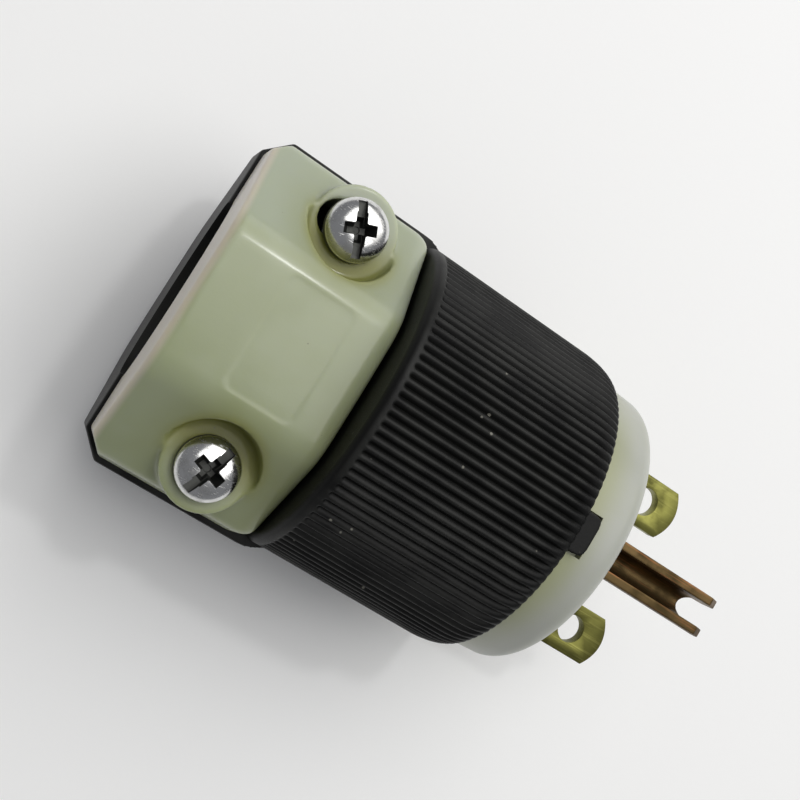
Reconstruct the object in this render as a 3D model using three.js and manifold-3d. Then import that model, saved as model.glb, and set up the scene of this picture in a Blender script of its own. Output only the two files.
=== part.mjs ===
// A wireable straight-blade grounding plug: a ribbed round housing with half of the cord clamp moulded
// on, a loose upper clamp half held by two screws, and an interior that carries two flat blades lying in
// one line and a U-shaped ground pin, each with its own wire terminal.
//
// Millimetres. The origin is the centre of the front face, +X points along the blades away from the
// housing, and +Z is the side of the clamp screws and of the ground pin.
import * as THREE from "three";
import { mergeVertices } from "three/addons/utils/BufferGeometryUtils.js";
import Module from "manifold-3d";

const wasm = await Module();
wasm.setup();

// ---------------------------------------------------------------- driving dimensions

// Gaps between pieces
const restGap = 0.3; // between two faces that rest on each other
const slipGap = 0.2; // around a piece that slides or turns in another
const pressGap = 0.1; // around a piece that is pressed or moulded into another
const cutOver = 1.0; // how far a cutting tool runs past the material

// Housing barrel
const barrelRadius = 19.05;
const barrelLength = 25.6;
const rimProjection = 6.6; // how far the front face stands out of the barrel
const rimSeatDepth = 3.0; // how deep the face's flange sits in the barrel's mouth
const rimSeatWall = 1.35; // barrel wall around that flange
const mouthEdge = 0.25; // wall left at the very edge of the mouth
const shoulderLength = 4.0; // length over which the barrel rounds in to its mouth
const barrelEdgeRadius = 1.0; // rounding of the barrel's rear edge
const chamberWall = 2.75; // barrel wall around the wiring chamber
const rearWall = 2.4; // wall between the wiring chamber and the clamp
const keyWidth = 4.6; // lug on the barrel's mouth that keys the face
const keyLength = 1.8;
const keyThickness = 1.7;

// Cord clamp
const clampLength = 20.7;
const clampHalfWidth = 20.2; // lower half, at the parting plane
const clampInset = 0.8; // how much narrower the upper half is, each side
const clampSetback = 0.4; // from the lower half's rear face to the upper half's
const sideHeight = 4.6; // upright side wall, above or below the parting plane
const sideDraft = 0.55; // how far that wall leans in over its height
const crestHalfWidth = 8.3; // flat top between the sloping flanks
const crestHeight = 13.3;
const crestCrown = 0.35; // extra height at the middle of the top
const cornerCut = 2.7; // chamfer on the two rear corners
const flareLength = 6.0; // length over which the lower half runs out along the barrel
const cordRadius = 9.2; // half width of the cord's passage
const cordFlatness = 0.34; // height of the passage over its width, with the clamp closed
const gripHeight = 1.0; // ridges across the passage that bite on the cord
const gripWidth = 1.6;
const gripSpacing = 5.6;
const funnelLength = 1.6; // flare at the passage's mouth
const panelLength = 8.0; // shallow blank panel on the upper half, along X
const panelWidth = 13.2;
const panelDepth = 0.15;
const panelCorner = 1.2;

// Clamp screws and their nuts
const clampScrewSetback = 9.0; // from the barrel's rear face to the screws
const clampScrewOffset = 14.3; // from the centre line to each screw
const clampScrewRadius = 1.72;
const clampScrewLength = 19.05;
const clampHeadRadius = 3.45;
const clampHeadHeight = 2.5;
const clampSlotWidth = 1.15; // of the straight slot in the head
const clampCrossWidth = 1.5; // of the second, shorter slot across it
const seatHeight = 8.3; // of the screw seats above the parting plane
const bossRadius = 4.8;
const wellRadius = 5.3; // clearance cut around the head into the flank
const slotReach = 2.1; // extra length of the slotted screw hole, towards the rear
const nutWidth = 6.35;
const nutHeight = 2.4;
const nutDepth = 7.4; // from the parting plane down to the nut
const lowerBossRadius = 5.5;
const lowerBossDepth = 11.0;

// Face and retainer
const faceRoundLength = 2.4; // rounding of the front edge, along X
const faceRoundRadius = 2.3; // rounding of the front edge, radially
const faceDraft = 0.2; // how much the rim tapers in before that rounding
const coreDepth = 2.4; // of the face's core behind its flange
const retainerThickness = 2.7;
const barrierLength = 10.4;
const barrierWall = 1.6;
const barrierHeight = 1.5; // of the wall between the line terminals and the ground terminal

// Blades and ground pin
const bladeSpacing = 18.26;
const bladeWidth = 6.35;
const bladeThickness = 1.52;
const bladeLength = 14.8;
const bladeZ = -4.0;
const bladeTipBulge = 1.2; // how far the rounded tip stands past its corners
const bladeHoleRadius = 1.75;
const bladeHoleSetback = 4.7; // from the tip to the hole's centre
const bladeShoulderWidth = 8.6;
const contactRelief = 0.05; // taken off each flat side of a contact behind the front face
const shoulderThickness = 1.6; // of the blade's shoulder along X
const pinOffset = 11.9; // from the blades' line to the pin's centre
const pinWidth = 4.83;
const pinHeight = 4.8;
const pinWall = 1.05;
const pinLength = 17.8;
const pinNotchDepth = 2.9;
const pinTipTaper = 1.4; // length over which the two prongs come to a point

// Wire terminals
const tailLength = 9.4; // of each contact behind the retainer
const terminalSetback = 4.3; // from the retainer to the terminal screw
const terminalScrewRadius = 1.42;
const terminalHeadRadius = 3.0;
const terminalHeadHeight = 1.9;
const terminalScrewLength = 5.0;
const terminalSlotWidth = 1.0;
const plateLength = 6.8;
const plateWidth = 6.6;
const plateThickness = 1.0;
const plateCorner = 0.8;

// Assembly screws, their inserts, and the retainer's screws
const assemblyOffset = 10.3; // from the centre line to each screw, along Y
const assemblyHeight = 6.5; // of the screws above the centre line
const assemblyRadius = 1.42;
const assemblyLength = 19.05;
const assemblyHeadRadius = 2.4;
const assemblyHeadHeight = 1.7;
const assemblyHeadDepth = 0.4; // how far the head is sunk in the face
const assemblySlotWidth = 0.9;
const assemblyCrossWidth = 1.1;
const columnRadius = 2.7;
const columnWebWidth = 3.2; // of the web that ties a column to the barrel wall
const insertRadius = 1.95;
const insertLength = 6.0;
const retainerScrewOffset = 3.6;
const retainerScrewDrop = 12.0; // of the screws below the centre line
const retainerScrewRadius = 1.1;
const retainerScrewLength = 6.0;
const retainerHeadRadius = 1.8;
const retainerHeadHeight = 1.2;
const retainerSlotWidth = 0.7;

// Proportions of every pan head and screw point
const headEdgeShare = 0.35; // upright edge, as a share of the head's height
const headFlatShare = 0.45; // flat middle, as a share of the head's radius
const slotFloorShare = 0.45; // floor of the slots, as a share of the head's height
const slotReachShare = 0.8; // half length of the straight slot, as a share of the head's radius
const crossReach = 1.4; // half length of the cross slot, in its own widths
const pointShare = 0.45; // chamfer of the screw's point, as a share of its radius

// Smoothness
const barrelSegments = 56;
const roundSegments = 24;
const shankSegments = 16;
const curveSegments = 4;
const flareSteps = 12;

// ---------------------------------------------------------------- stations that follow

const barrelFrontX = -rimProjection;
const barrelRearX = barrelFrontX - barrelLength;
const clampFrontX = barrelRearX - restGap;
const clampRearX = barrelRearX - clampLength;
const chamberRadius = barrelRadius - chamberWall;
const chamberRearX = barrelRearX + rearWall;
const seatRadius = barrelRadius - rimSeatWall;
const rimRadius = seatRadius - slipGap;
const flangeRearX = barrelFrontX - rimSeatDepth;
const coreRadius = chamberRadius - slipGap;
const coreRearX = flangeRearX - coreDepth;
const retainerFrontX = coreRearX - restGap;
const retainerRearX = retainerFrontX - retainerThickness;
const clampScrewX = barrelRearX - clampScrewSetback;
const pinZ = bladeZ + pinOffset;
const terminalX = retainerRearX - terminalSetback;
const tailRearX = retainerRearX - tailLength;
const webBottomZ = pinZ - pinHeight / 2;
const keyTopZ = seatRadius + mouthEdge + pressGap;
const columnFrontX = retainerRearX - restGap;
const contactHalf = bladeThickness / 2 - contactRelief;
const sides = [
  ["left", 1],
  ["right", -1],
];

// ---------------------------------------------------------------- shape helpers

/** A closed three.js geometry as a solid, with its faces turned outwards. */
function solidOf(geometry) {
  const bare = geometry.clone();
  bare.deleteAttribute("normal");
  bare.deleteAttribute("uv");
  const merged = mergeVertices(bare, 1e-4);
  const corners = [];
  const index = merged.index.array;
  for (let i = 0; i < index.length; i += 3) {
    const [a, b, c] = index.slice(i, i + 3);
    if (a !== b && b !== c && c !== a) corners.push(a, b, c);
  }
  const vertProperties = new Float32Array(merged.attributes.position.array);
  const build = (list) => {
    const triVerts = new Uint32Array(list);
    return new wasm.Manifold(new wasm.Mesh({ numProp: 3, vertProperties, triVerts }));
  };
  const made = build(corners);
  if (made.volume() > 0) return made;
  for (let i = 0; i < corners.length; i += 3) {
    [corners[i + 1], corners[i + 2]] = [corners[i + 2], corners[i + 1]];
  }
  return build(corners);
}

/** A solid's surface as a three.js geometry with flat facets. */
function geometryOf(solid) {
  const surface = solid.getMesh();
  const positions = new THREE.BufferAttribute(new Float32Array(surface.vertProperties), surface.numProp);
  const indexed = new THREE.BufferGeometry().setAttribute("position", positions);
  indexed.setIndex(new THREE.BufferAttribute(new Uint32Array(surface.triVerts), 1));
  const faceted = indexed.toNonIndexed();
  faceted.computeVertexNormals();
  return faceted;
}

/** All the given solids joined into one. */
function join(first, ...others) {
  return others.reduce((whole, next) => whole.add(next), first);
}

/** The first solid with all the others cut away. */
function cut(from, ...tools) {
  return tools.reduce((whole, tool) => whole.subtract(tool), from);
}

/** A box between two corners. */
function box([x0, y0, z0], [x1, y1, z1]) {
  const geometry = new THREE.BoxGeometry(Math.abs(x1 - x0), Math.abs(y1 - y0), Math.abs(z1 - z0));
  return solidOf(geometry.translate((x0 + x1) / 2, (y0 + y1) / 2, (z0 + z1) / 2));
}

/** A round bar or cone along X between two stations. */
function barX(radius, x0, x1, { y = 0, z = 0, endRadius = radius, segments = roundSegments } = {}) {
  const geometry = new THREE.CylinderGeometry(endRadius, radius, Math.abs(x1 - x0), segments);
  return solidOf(geometry.rotateZ(-Math.PI / 2).translate((x0 + x1) / 2, y, z));
}

/** A round bar along Z between two heights. */
function barZ(radius, z0, z1, { x = 0, y = 0, segments = roundSegments } = {}) {
  const geometry = new THREE.CylinderGeometry(radius, radius, Math.abs(z1 - z0), segments);
  return solidOf(geometry.rotateX(Math.PI / 2).translate(x, y, (z0 + z1) / 2));
}

/** An outline of [radius, station] points spun about the X axis. */
function spunX(outline, segments) {
  const points = outline.map(([radius, station]) => new THREE.Vector2(radius, station));
  return solidOf(new THREE.LatheGeometry(points, segments).rotateZ(-Math.PI / 2));
}

/** An outline of [radius, height] points spun about the Z axis. */
function spunZ(outline, segments) {
  const points = outline.map(([radius, height]) => new THREE.Vector2(radius, height));
  return solidOf(new THREE.LatheGeometry(points, segments).rotateX(Math.PI / 2));
}

/** Points of a quarter ellipse from [r0, s0] to [r1, s1], leaving [r0, s0] along the axis. */
function quarterRound([r0, s0], [r1, s1]) {
  return Array.from({ length: curveSegments + 1 }, (_, i) => {
    const angle = (i / curveSegments) * (Math.PI / 2);
    return [r1 + (r0 - r1) * Math.cos(angle), s0 + (s1 - s0) * Math.sin(angle)];
  });
}

/** An outline drawn in Y and Z, pushed along X; an optional function then moves each point. */
function pushedX(shape, x0, x1, { steps = 1, reshape } = {}) {
  const settings = { depth: x1 - x0, steps, bevelEnabled: false, curveSegments };
  const geometry = new THREE.ExtrudeGeometry(shape, settings);
  const axes = [new THREE.Vector3(0, 1, 0), new THREE.Vector3(0, 0, 1), new THREE.Vector3(1, 0, 0)];
  geometry.applyMatrix4(new THREE.Matrix4().makeBasis(...axes)).translate(x0, 0, 0);
  if (reshape) {
    const points = geometry.attributes.position;
    const point = new THREE.Vector3();
    for (let i = 0; i < points.count; i += 1) {
      reshape(point.fromBufferAttribute(points, i));
      points.setXYZ(i, point.x, point.y, point.z);
    }
  }
  return solidOf(geometry);
}

/** An outline drawn in X and Y, pushed along Z between two heights. */
function pushedZ(shape, z0, z1) {
  const settings = { depth: z1 - z0, bevelEnabled: false, curveSegments };
  const geometry = new THREE.ExtrudeGeometry(shape, settings);
  return solidOf(geometry.translate(0, 0, z0));
}

/** A closed outline through the given points. */
function outline(points) {
  return new THREE.Shape(points.map(([u, v]) => new THREE.Vector2(u, v)));
}

/** A rectangle with round corners, centred on a point. */
function roundedRectangle(length, width, radius, [u, v]) {
  const shape = new THREE.Shape();
  const [halfLength, halfWidth] = [length / 2 - radius, width / 2 - radius];
  shape.absarc(u + halfLength, v + halfWidth, radius, 0, Math.PI / 2);
  shape.absarc(u - halfLength, v + halfWidth, radius, Math.PI / 2, Math.PI);
  shape.absarc(u - halfLength, v - halfWidth, radius, Math.PI, 1.5 * Math.PI);
  shape.absarc(u + halfLength, v - halfWidth, radius, 1.5 * Math.PI, 2 * Math.PI);
  return shape;
}

/** A named mesh of a solid in one of the finishes. */
function piece(name, solid, finish) {
  const mesh = new THREE.Mesh(geometryOf(solid), new THREE.MeshStandardMaterial(finish));
  mesh.name = name;
  return mesh;
}

// ---------------------------------------------------------------- finishes

const blackNylon = { color: 0x1b1c1b, roughness: 0.5, metalness: 0 };
const ivoryNylon = { color: 0xb9c3a6, roughness: 0.38, metalness: 0 };
const whiteNylon = { color: 0xcdd0c2, roughness: 0.42, metalness: 0 };
const greyNylon = { color: 0x8d9088, roughness: 0.5, metalness: 0 };
const zincSteel = { color: 0xc9cac8, roughness: 0.24, metalness: 1 };
const plainSteel = { color: 0x9d9c98, roughness: 0.36, metalness: 1 };
const yellowBrass = { color: 0x9c9a4c, roughness: 0.35, metalness: 1 };
const brownBrass = { color: 0x7d5a33, roughness: 0.4, metalness: 1 };
const greenSteel = { color: 0x2f7a45, roughness: 0.4, metalness: 0.6 };

// ---------------------------------------------------------------- shared shapes

/** Half of the clamp's cross-section in Y and Z, standing on the parting plane with its top at +Z. */
function clampSection(halfWidth, base) {
  const shoulder = halfWidth - sideDraft;
  const shape = new THREE.Shape();
  shape.moveTo(halfWidth, base);
  shape.lineTo(shoulder, sideHeight - sideDraft);
  shape.quadraticCurveTo(shoulder, sideHeight, shoulder - sideDraft, sideHeight + sideDraft);
  shape.lineTo(crestHalfWidth, crestHeight);
  shape.quadraticCurveTo(0, crestHeight + 2 * crestCrown, -crestHalfWidth, crestHeight);
  shape.lineTo(sideDraft - shoulder, sideHeight + sideDraft);
  shape.quadraticCurveTo(-shoulder, sideHeight, -shoulder, sideHeight - sideDraft);
  shape.lineTo(-halfWidth, base);
  return shape;
}

/** The two wedges that take the rear corners off a clamp half of the given half-width. */
function cornerWedges(halfWidth) {
  const reach = crestHeight + lowerBossDepth;
  return sides.map(([, side]) => {
    const wedge = outline([
      [clampRearX - cutOver, side * (halfWidth - cornerCut - cutOver)],
      [clampRearX + cornerCut + cutOver, side * (halfWidth + cutOver)],
      [clampRearX - cutOver, side * (halfWidth + cutOver)],
    ]);
    return pushedZ(wedge, -reach, reach);
  });
}

/** The cord's passage: flat between the clamp halves, with grip ridges, and round in the rear wall. */
function cordPassage() {
  const startX = clampRearX - restGap;
  const endX = barrelRearX - restGap / 2;
  const ridges = [-1, 0, 1].map((step) => clampScrewX + step * gripSpacing);
  const starts = [startX, ...ridges.map((x) => x + gripWidth / 2)];
  const ends = [...ridges.map((x) => x - gripWidth / 2), endX];
  const stretches = starts.map((start, i) => barX(cordRadius, start, ends[i]));
  const mouth = { endRadius: cordRadius };
  const funnel = barX(cordRadius + funnelLength, startX, clampRearX + funnelLength, mouth);
  const tight = barX(cordRadius - gripHeight, startX, endX);
  const flat = join(tight, funnel, ...stretches).scale([1, 1, cordFlatness]);
  return join(flat, barX(cordRadius, endX - restGap / 2, chamberRearX + restGap));
}

/** A pan-head machine screw on the Z axis, its head's underside at z = 0 and its shank below. */
function machineScrew({ headRadius, headHeight, radius, length, slotWidth, crossWidth = 0 }) {
  const rim = headHeight * headEdgeShare;
  const tip = radius * pointShare;
  const body = spunZ(
    [
      [0, -length],
      [radius - tip, -length],
      [radius, tip - length],
      [radius, 0],
      [headRadius, 0],
      ...quarterRound([headRadius, rim], [headRadius * headFlatShare, headHeight]),
      [0, headHeight],
    ],
    shankSegments,
  );
  const top = headHeight + restGap;
  const floor = headHeight * slotFloorShare;
  const reach = headRadius * slotReachShare;
  const slots = [box([-reach, -slotWidth / 2, floor], [reach, slotWidth / 2, top])];
  if (crossWidth) {
    const half = crossWidth / 2;
    slots.push(box([-half, -crossWidth * crossReach, floor], [half, crossWidth * crossReach, top]));
  }
  return cut(body, ...slots);
}

// ---------------------------------------------------------------- housing

/** The round barrel, open at its mouth and closed by the rear wall. */
function barrel() {
  const mouthRadius = seatRadius + mouthEdge;
  const seatRearX = flangeRearX - restGap;
  const edgeStart = [barrelRadius, barrelRearX + barrelEdgeRadius];
  const edgeEnd = [barrelRadius - barrelEdgeRadius, barrelRearX];
  return spunX(
    [
      [cordRadius / 2, barrelRearX],
      ...quarterRound(edgeStart, edgeEnd).reverse(),
      ...quarterRound([barrelRadius, barrelFrontX - shoulderLength], [mouthRadius, barrelFrontX]),
      [seatRadius, barrelFrontX],
      [seatRadius, seatRearX],
      [chamberRadius, seatRearX],
      [chamberRadius, chamberRearX],
      [cordRadius / 2, chamberRearX],
      [cordRadius / 2, barrelRearX],
    ],
    barrelSegments,
  );
}

/** The clamp's lower half, running out along the barrel's flanks. */
function lowerClampHalf() {
  const endX = barrelRearX + flareLength;
  const shrink = 1 - (barrelRadius - barrelEdgeRadius) / clampHalfWidth;
  const section = clampSection(clampHalfWidth, 0);
  const body = pushedX(section, clampRearX, endX, {
    steps: flareSteps,
    reshape: (point) => {
      const along = THREE.MathUtils.clamp((point.x - barrelRearX + restGap) / flareLength, 0, 1);
      const scale = 1 - shrink * THREE.MathUtils.smoothstep(along, 0, 1);
      point.y *= scale;
      point.z *= -scale;
    },
  });
  const bosses = sides.map(([, side]) =>
    barZ(lowerBossRadius, -lowerBossDepth, -restGap, { x: clampScrewX, y: side * clampScrewOffset }),
  );
  return cut(join(body, ...bosses), ...cornerWedges(clampHalfWidth));
}

/** The two columns inside the barrel that take the assembly screws, each with a web to the wall. */
function assemblyColumns() {
  const rearX = chamberRearX - restGap;
  const lean = THREE.MathUtils.radToDeg(Math.atan2(assemblyOffset, assemblyHeight));
  const webHeight = chamberRadius + chamberWall / 2 - Math.hypot(assemblyOffset, assemblyHeight);
  return sides.flatMap(([, side]) => {
    const [y, z] = [side * assemblyOffset, assemblyHeight];
    const web = box([rearX, -columnWebWidth / 2, 0], [columnFrontX, columnWebWidth / 2, webHeight]);
    const turned = web.rotate([-side * lean, 0, 0]).translate([0, y, z]);
    return [barX(columnRadius, rearX, columnFrontX, { y, z }), turned];
  });
}

/** The lug at the top of the mouth that sits in the face's key notch. */
function keyLug() {
  const shape = roundedRectangle(2 * keyLength, keyWidth, keyWidth / 5, [barrelFrontX, 0]);
  return pushedZ(shape, keyTopZ - keyThickness, keyTopZ);
}

/** The one-piece housing: barrel, lower clamp half, screw columns and key lug, with all its holes. */
function housingShell() {
  const body = join(barrel(), lowerClampHalf());
  const round = { segments: barrelSegments };
  const seatCut = barX(seatRadius, flangeRearX - restGap, barrelFrontX + restGap, round);
  const chamberCut = barX(chamberRadius, chamberRearX, flangeRearX, round);
  const hollow = cut(body, seatCut, chamberCut, cordPassage());
  const screwHoles = sides.flatMap(([, side]) => {
    const place = { x: clampScrewX, y: side * clampScrewOffset, segments: shankSegments };
    const pocket = nutWidth / 2 + pressGap;
    return [
      barZ(clampScrewRadius + slipGap, -lowerBossDepth - restGap, restGap, place),
      box(
        [place.x - pocket, place.y - pocket, -lowerBossDepth - clampLength],
        [place.x + pocket, place.y + pocket, pressGap - nutDepth],
      ),
    ];
  });
  const columnHoles = sides.flatMap(([, side]) => {
    const place = { y: side * assemblyOffset, z: assemblyHeight, segments: shankSegments };
    return [
      barX(insertRadius + pressGap, columnFrontX - insertLength - pressGap, columnFrontX + restGap, place),
      barX(assemblyRadius + slipGap, chamberRearX, columnFrontX, place),
    ];
  });
  return cut(join(hollow, ...assemblyColumns(), keyLug()), ...screwHoles, ...columnHoles);
}

/** The captive square nut of a clamp screw. */
function clampNut() {
  const half = nutWidth / 2;
  const body = box([-half, -half, -nutHeight], [half, half, 0]);
  const thread = { segments: shankSegments };
  return cut(body, barZ(clampScrewRadius + slipGap, -nutHeight - restGap, restGap, thread));
}

/** The threaded sleeve moulded into an assembly column, its front end at x = 0. */
function assemblyInsert() {
  const place = { segments: shankSegments };
  const thread = barX(assemblyRadius + pressGap, -insertLength - restGap, restGap, place);
  return cut(barX(insertRadius, -insertLength, 0, place), thread);
}

// ---------------------------------------------------------------- cord clamp

/** The loose upper half of the clamp, with its screw seats, wells, holes and blank panel. */
function cordClamp() {
  const halfWidth = clampHalfWidth - clampInset;
  const holeRadius = clampScrewRadius + 2 * slipGap;
  const places = sides.map(([, side]) => ({ x: clampScrewX, y: side * clampScrewOffset }));
  const section = clampSection(halfWidth, restGap);
  const body = pushedX(section, clampRearX + clampSetback, clampFrontX);
  const bosses = places.map((place) => barZ(bossRadius, restGap, seatHeight, place));
  const wells = places.map((place) => barZ(wellRadius, seatHeight, seatHeight + crestHeight, place));
  const holes = places.map((place) =>
    barZ(holeRadius, 0, seatHeight + restGap, { ...place, segments: shankSegments }),
  );
  const slotCentre = [clampScrewX - slotReach / 2, clampScrewOffset];
  const slotRound = holeRadius - slipGap / 2;
  const slot = roundedRectangle(2 * holeRadius + slotReach, 2 * holeRadius, slotRound, slotCentre);
  const panel = roundedRectangle(panelLength, panelWidth, panelCorner, [clampScrewX, 0]);
  const panelCut = pushedZ(panel, crestHeight - panelDepth, crestHeight + 2 * crestCrown);
  return cut(
    join(body, ...bosses),
    ...wells,
    ...holes,
    pushedZ(slot, 0, seatHeight + restGap),
    panelCut,
    cordPassage(),
    ...cornerWedges(halfWidth),
  );
}

/** One of the two screws that draw the clamp halves together. */
function clampScrew() {
  return machineScrew({
    headRadius: clampHeadRadius,
    headHeight: clampHeadHeight,
    radius: clampScrewRadius,
    length: clampScrewLength,
    slotWidth: clampSlotWidth,
    crossWidth: clampCrossWidth,
  });
}

// ---------------------------------------------------------------- interior

/** The pin's U-shaped section in Y and Z, grown outwards by a gap, or its channel alone. */
function pinSection(gap) {
  const half = pinWidth / 2 + gap;
  const top = pinZ + pinHeight / 2 + gap;
  const turnZ = webBottomZ + pinWidth / 2;
  const shape = new THREE.Shape();
  shape.moveTo(half, top);
  shape.lineTo(-half, top);
  shape.lineTo(-half, turnZ);
  shape.absarc(0, turnZ, half, Math.PI, 2 * Math.PI, false);
  return shape;
}

/** The front face: the round rim, the flange in the barrel's mouth and the core behind it. */
function faceBody() {
  const rimFrontRadius = rimRadius - faceDraft;
  const body = spunX(
    [
      [0, coreRearX],
      [coreRadius, coreRearX],
      [coreRadius, flangeRearX],
      [rimRadius, flangeRearX],
      [rimRadius, barrelFrontX],
      ...quarterRound([rimFrontRadius, -faceRoundLength], [rimFrontRadius - faceRoundRadius, 0]),
      [0, 0],
    ],
    barrelSegments,
  );
  const slots = sides.flatMap(([, side]) => {
    const y = (side * bladeSpacing) / 2;
    const [halfWidth, halfThickness] = [bladeWidth / 2 + slipGap, bladeThickness / 2 + slipGap];
    const halfShoulder = bladeShoulderWidth / 2 + slipGap;
    const pocketX = coreRearX + shoulderThickness + slipGap;
    const [lowZ, highZ] = [bladeZ - halfThickness, bladeZ + halfThickness];
    return [
      box([coreRearX - restGap, y - halfWidth, lowZ], [restGap, y + halfWidth, highZ]),
      box([coreRearX - restGap, y - halfShoulder, lowZ], [pocketX, y + halfShoulder, highZ]),
    ];
  });
  const screwPlaces = sides.map(([, side]) => ({
    y: side * assemblyOffset,
    z: assemblyHeight,
    segments: shankSegments,
  }));
  const headFloorX = -assemblyHeadDepth - assemblyHeadHeight - restGap;
  const screwHoles = screwPlaces.flatMap((place) => [
    barX(assemblyRadius + slipGap, coreRearX - restGap, restGap, place),
    barX(assemblyHeadRadius + slipGap, headFloorX, restGap, { ...place, segments: roundSegments }),
  ]);
  const retainerHoleFloorX = coreRearX + retainerScrewLength - retainerThickness;
  const retainerHoles = sides.map(([, side]) =>
    barX(retainerScrewRadius + pressGap, coreRearX - restGap, retainerHoleFloorX, {
      y: side * retainerScrewOffset,
      z: -retainerScrewDrop,
      segments: shankSegments,
    }),
  );
  const pinHole = pushedX(pinSection(slipGap), coreRearX - restGap, restGap);
  const notch = box(
    [flangeRearX - restGap, -keyWidth / 2 - slipGap, keyTopZ - keyThickness - slipGap],
    [barrelFrontX + keyLength + slipGap, keyWidth / 2 + slipGap, keyTopZ + rimSeatWall],
  );
  return cut(body, ...slots, ...screwHoles, ...retainerHoles, pinHole, notch);
}

/** The plate that holds the contacts in the face, with the T of walls between the three terminals. */
function terminalRetainer() {
  const rearX = retainerRearX - barrierLength;
  const frontX = retainerRearX + restGap;
  const round = { segments: barrelSegments };
  const half = barrierWall / 2;
  const plate = barX(coreRadius, retainerRearX, retainerFrontX, round);
  const wallReach = coreRadius + barrierWall;
  const level = box([rearX, -wallReach, barrierHeight - half], [frontX, wallReach, barrierHeight + half]);
  const upright = box([rearX, -half, -wallReach], [frontX, half, barrierHeight]);
  const walls = join(level, upright).intersect(barX(coreRadius, rearX, frontX, round));
  const over = [retainerRearX - restGap, retainerFrontX + restGap];
  const tails = sides.map(([, side]) => {
    const y = (side * bladeSpacing) / 2;
    const [halfWidth, halfThickness] = [bladeWidth / 2 + slipGap, bladeThickness / 2 + slipGap];
    const [lowZ, highZ] = [bladeZ - halfThickness, bladeZ + halfThickness];
    return box([over[0], y - halfWidth, lowZ], [over[1], y + halfWidth, highZ]);
  });
  const groundHalf = bladeWidth / 2 + slipGap;
  const groundTopZ = webBottomZ + pinWall + slipGap;
  const groundTail = box([over[0], -groundHalf, webBottomZ - slipGap], [over[1], groundHalf, groundTopZ]);
  const screws = sides.flatMap(([, side]) => [
    barX(assemblyRadius + slipGap, ...over, {
      y: side * assemblyOffset,
      z: assemblyHeight,
      segments: shankSegments,
    }),
    barX(retainerScrewRadius + slipGap, ...over, {
      y: side * retainerScrewOffset,
      z: -retainerScrewDrop,
      segments: shankSegments,
    }),
  ]);
  return cut(join(plate, walls), ...tails, groundTail, ...screws);
}

/** A flat blade with its tip at the front, its shoulder in the face and its tail at the terminal. */
function lineBlade() {
  const half = bladeWidth / 2;
  const halfShoulder = bladeShoulderWidth / 2;
  const shoulderFrontX = coreRearX + shoulderThickness;
  const shape = new THREE.Shape();
  shape.moveTo(tailRearX, -half);
  shape.lineTo(coreRearX, -half);
  shape.lineTo(coreRearX, -halfShoulder);
  shape.lineTo(shoulderFrontX, -halfShoulder);
  shape.lineTo(shoulderFrontX, -half);
  shape.lineTo(bladeLength - bladeTipBulge, -half);
  shape.quadraticCurveTo(bladeLength + bladeTipBulge, 0, bladeLength - bladeTipBulge, half);
  shape.lineTo(shoulderFrontX, half);
  shape.lineTo(shoulderFrontX, halfShoulder);
  shape.lineTo(coreRearX, halfShoulder);
  shape.lineTo(coreRearX, half);
  shape.lineTo(tailRearX, half);
  const strip = pushedZ(shape, -bladeThickness / 2, bladeThickness / 2);
  const reliefs = [-1, 1].map((face) =>
    box(
      [tailRearX - cutOver, -bladeShoulderWidth, face * contactHalf],
      [restGap, bladeShoulderWidth, face * bladeThickness],
    ),
  );
  const hole = { x: bladeLength - bladeHoleSetback, segments: roundSegments };
  const thread = { x: terminalX, segments: shankSegments };
  return cut(
    strip,
    ...reliefs,
    barZ(bladeHoleRadius, -bladeThickness, bladeThickness, hole),
    barZ(terminalScrewRadius + slipGap, -bladeThickness, bladeThickness, thread),
  );
}

/** The folded ground pin, open towards +Z, with a notched tip and a flat tail. */
function groundPin() {
  const outer = pushedX(pinSection(0), coreRearX - restGap / 2, pinLength);
  const channelHalf = pinWidth / 2 - pinWall;
  const turnZ = webBottomZ + pinWidth / 2;
  const channel = new THREE.Shape();
  channel.moveTo(channelHalf, pinZ + pinHeight);
  channel.lineTo(-channelHalf, pinZ + pinHeight);
  channel.lineTo(-channelHalf, turnZ);
  channel.absarc(0, turnZ, channelHalf, Math.PI, 2 * Math.PI, false);
  const hollow = pushedX(channel, coreRearX - restGap, pinLength + restGap);
  const notchX = pinLength - pinNotchDepth + channelHalf;
  const notch = join(
    barZ(channelHalf, webBottomZ - restGap, pinZ, { x: notchX, segments: shankSegments }),
    box([notchX, -channelHalf, webBottomZ - restGap], [pinLength + restGap, channelHalf, pinZ]),
  );
  const tipBevels = [-1, 1].map((end) => {
    const z = pinZ + (end * pinHeight) / 2;
    const bevel = outline([
      [pinLength - pinTipTaper, z],
      [pinLength + restGap, z - (end * pinHeight) / 4],
      [pinLength + restGap, z + end * restGap],
      [pinLength - pinTipTaper, z + end * restGap],
    ]);
    const geometry = new THREE.ExtrudeGeometry(bevel, { depth: 2 * pinWidth, bevelEnabled: false });
    return solidOf(geometry.rotateX(Math.PI / 2).translate(0, pinWidth, 0));
  });
  const reliefs = sides.map(([, side]) =>
    box(
      [coreRearX - cutOver, side * (pinWidth / 2 - contactRelief), webBottomZ - cutOver],
      [restGap, side * pinWidth, pinZ + pinHeight],
    ),
  );
  const tailTopZ = webBottomZ + pinWall;
  const tail = box([tailRearX, -bladeWidth / 2, webBottomZ], [coreRearX, bladeWidth / 2, tailTopZ]);
  const thread = { x: terminalX, segments: shankSegments };
  const threadHole = barZ(terminalScrewRadius + slipGap, webBottomZ - restGap, tailTopZ + restGap, thread);
  return cut(join(cut(outer, hollow, ...reliefs), tail), notch, ...tipBevels, threadHole);
}

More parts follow.
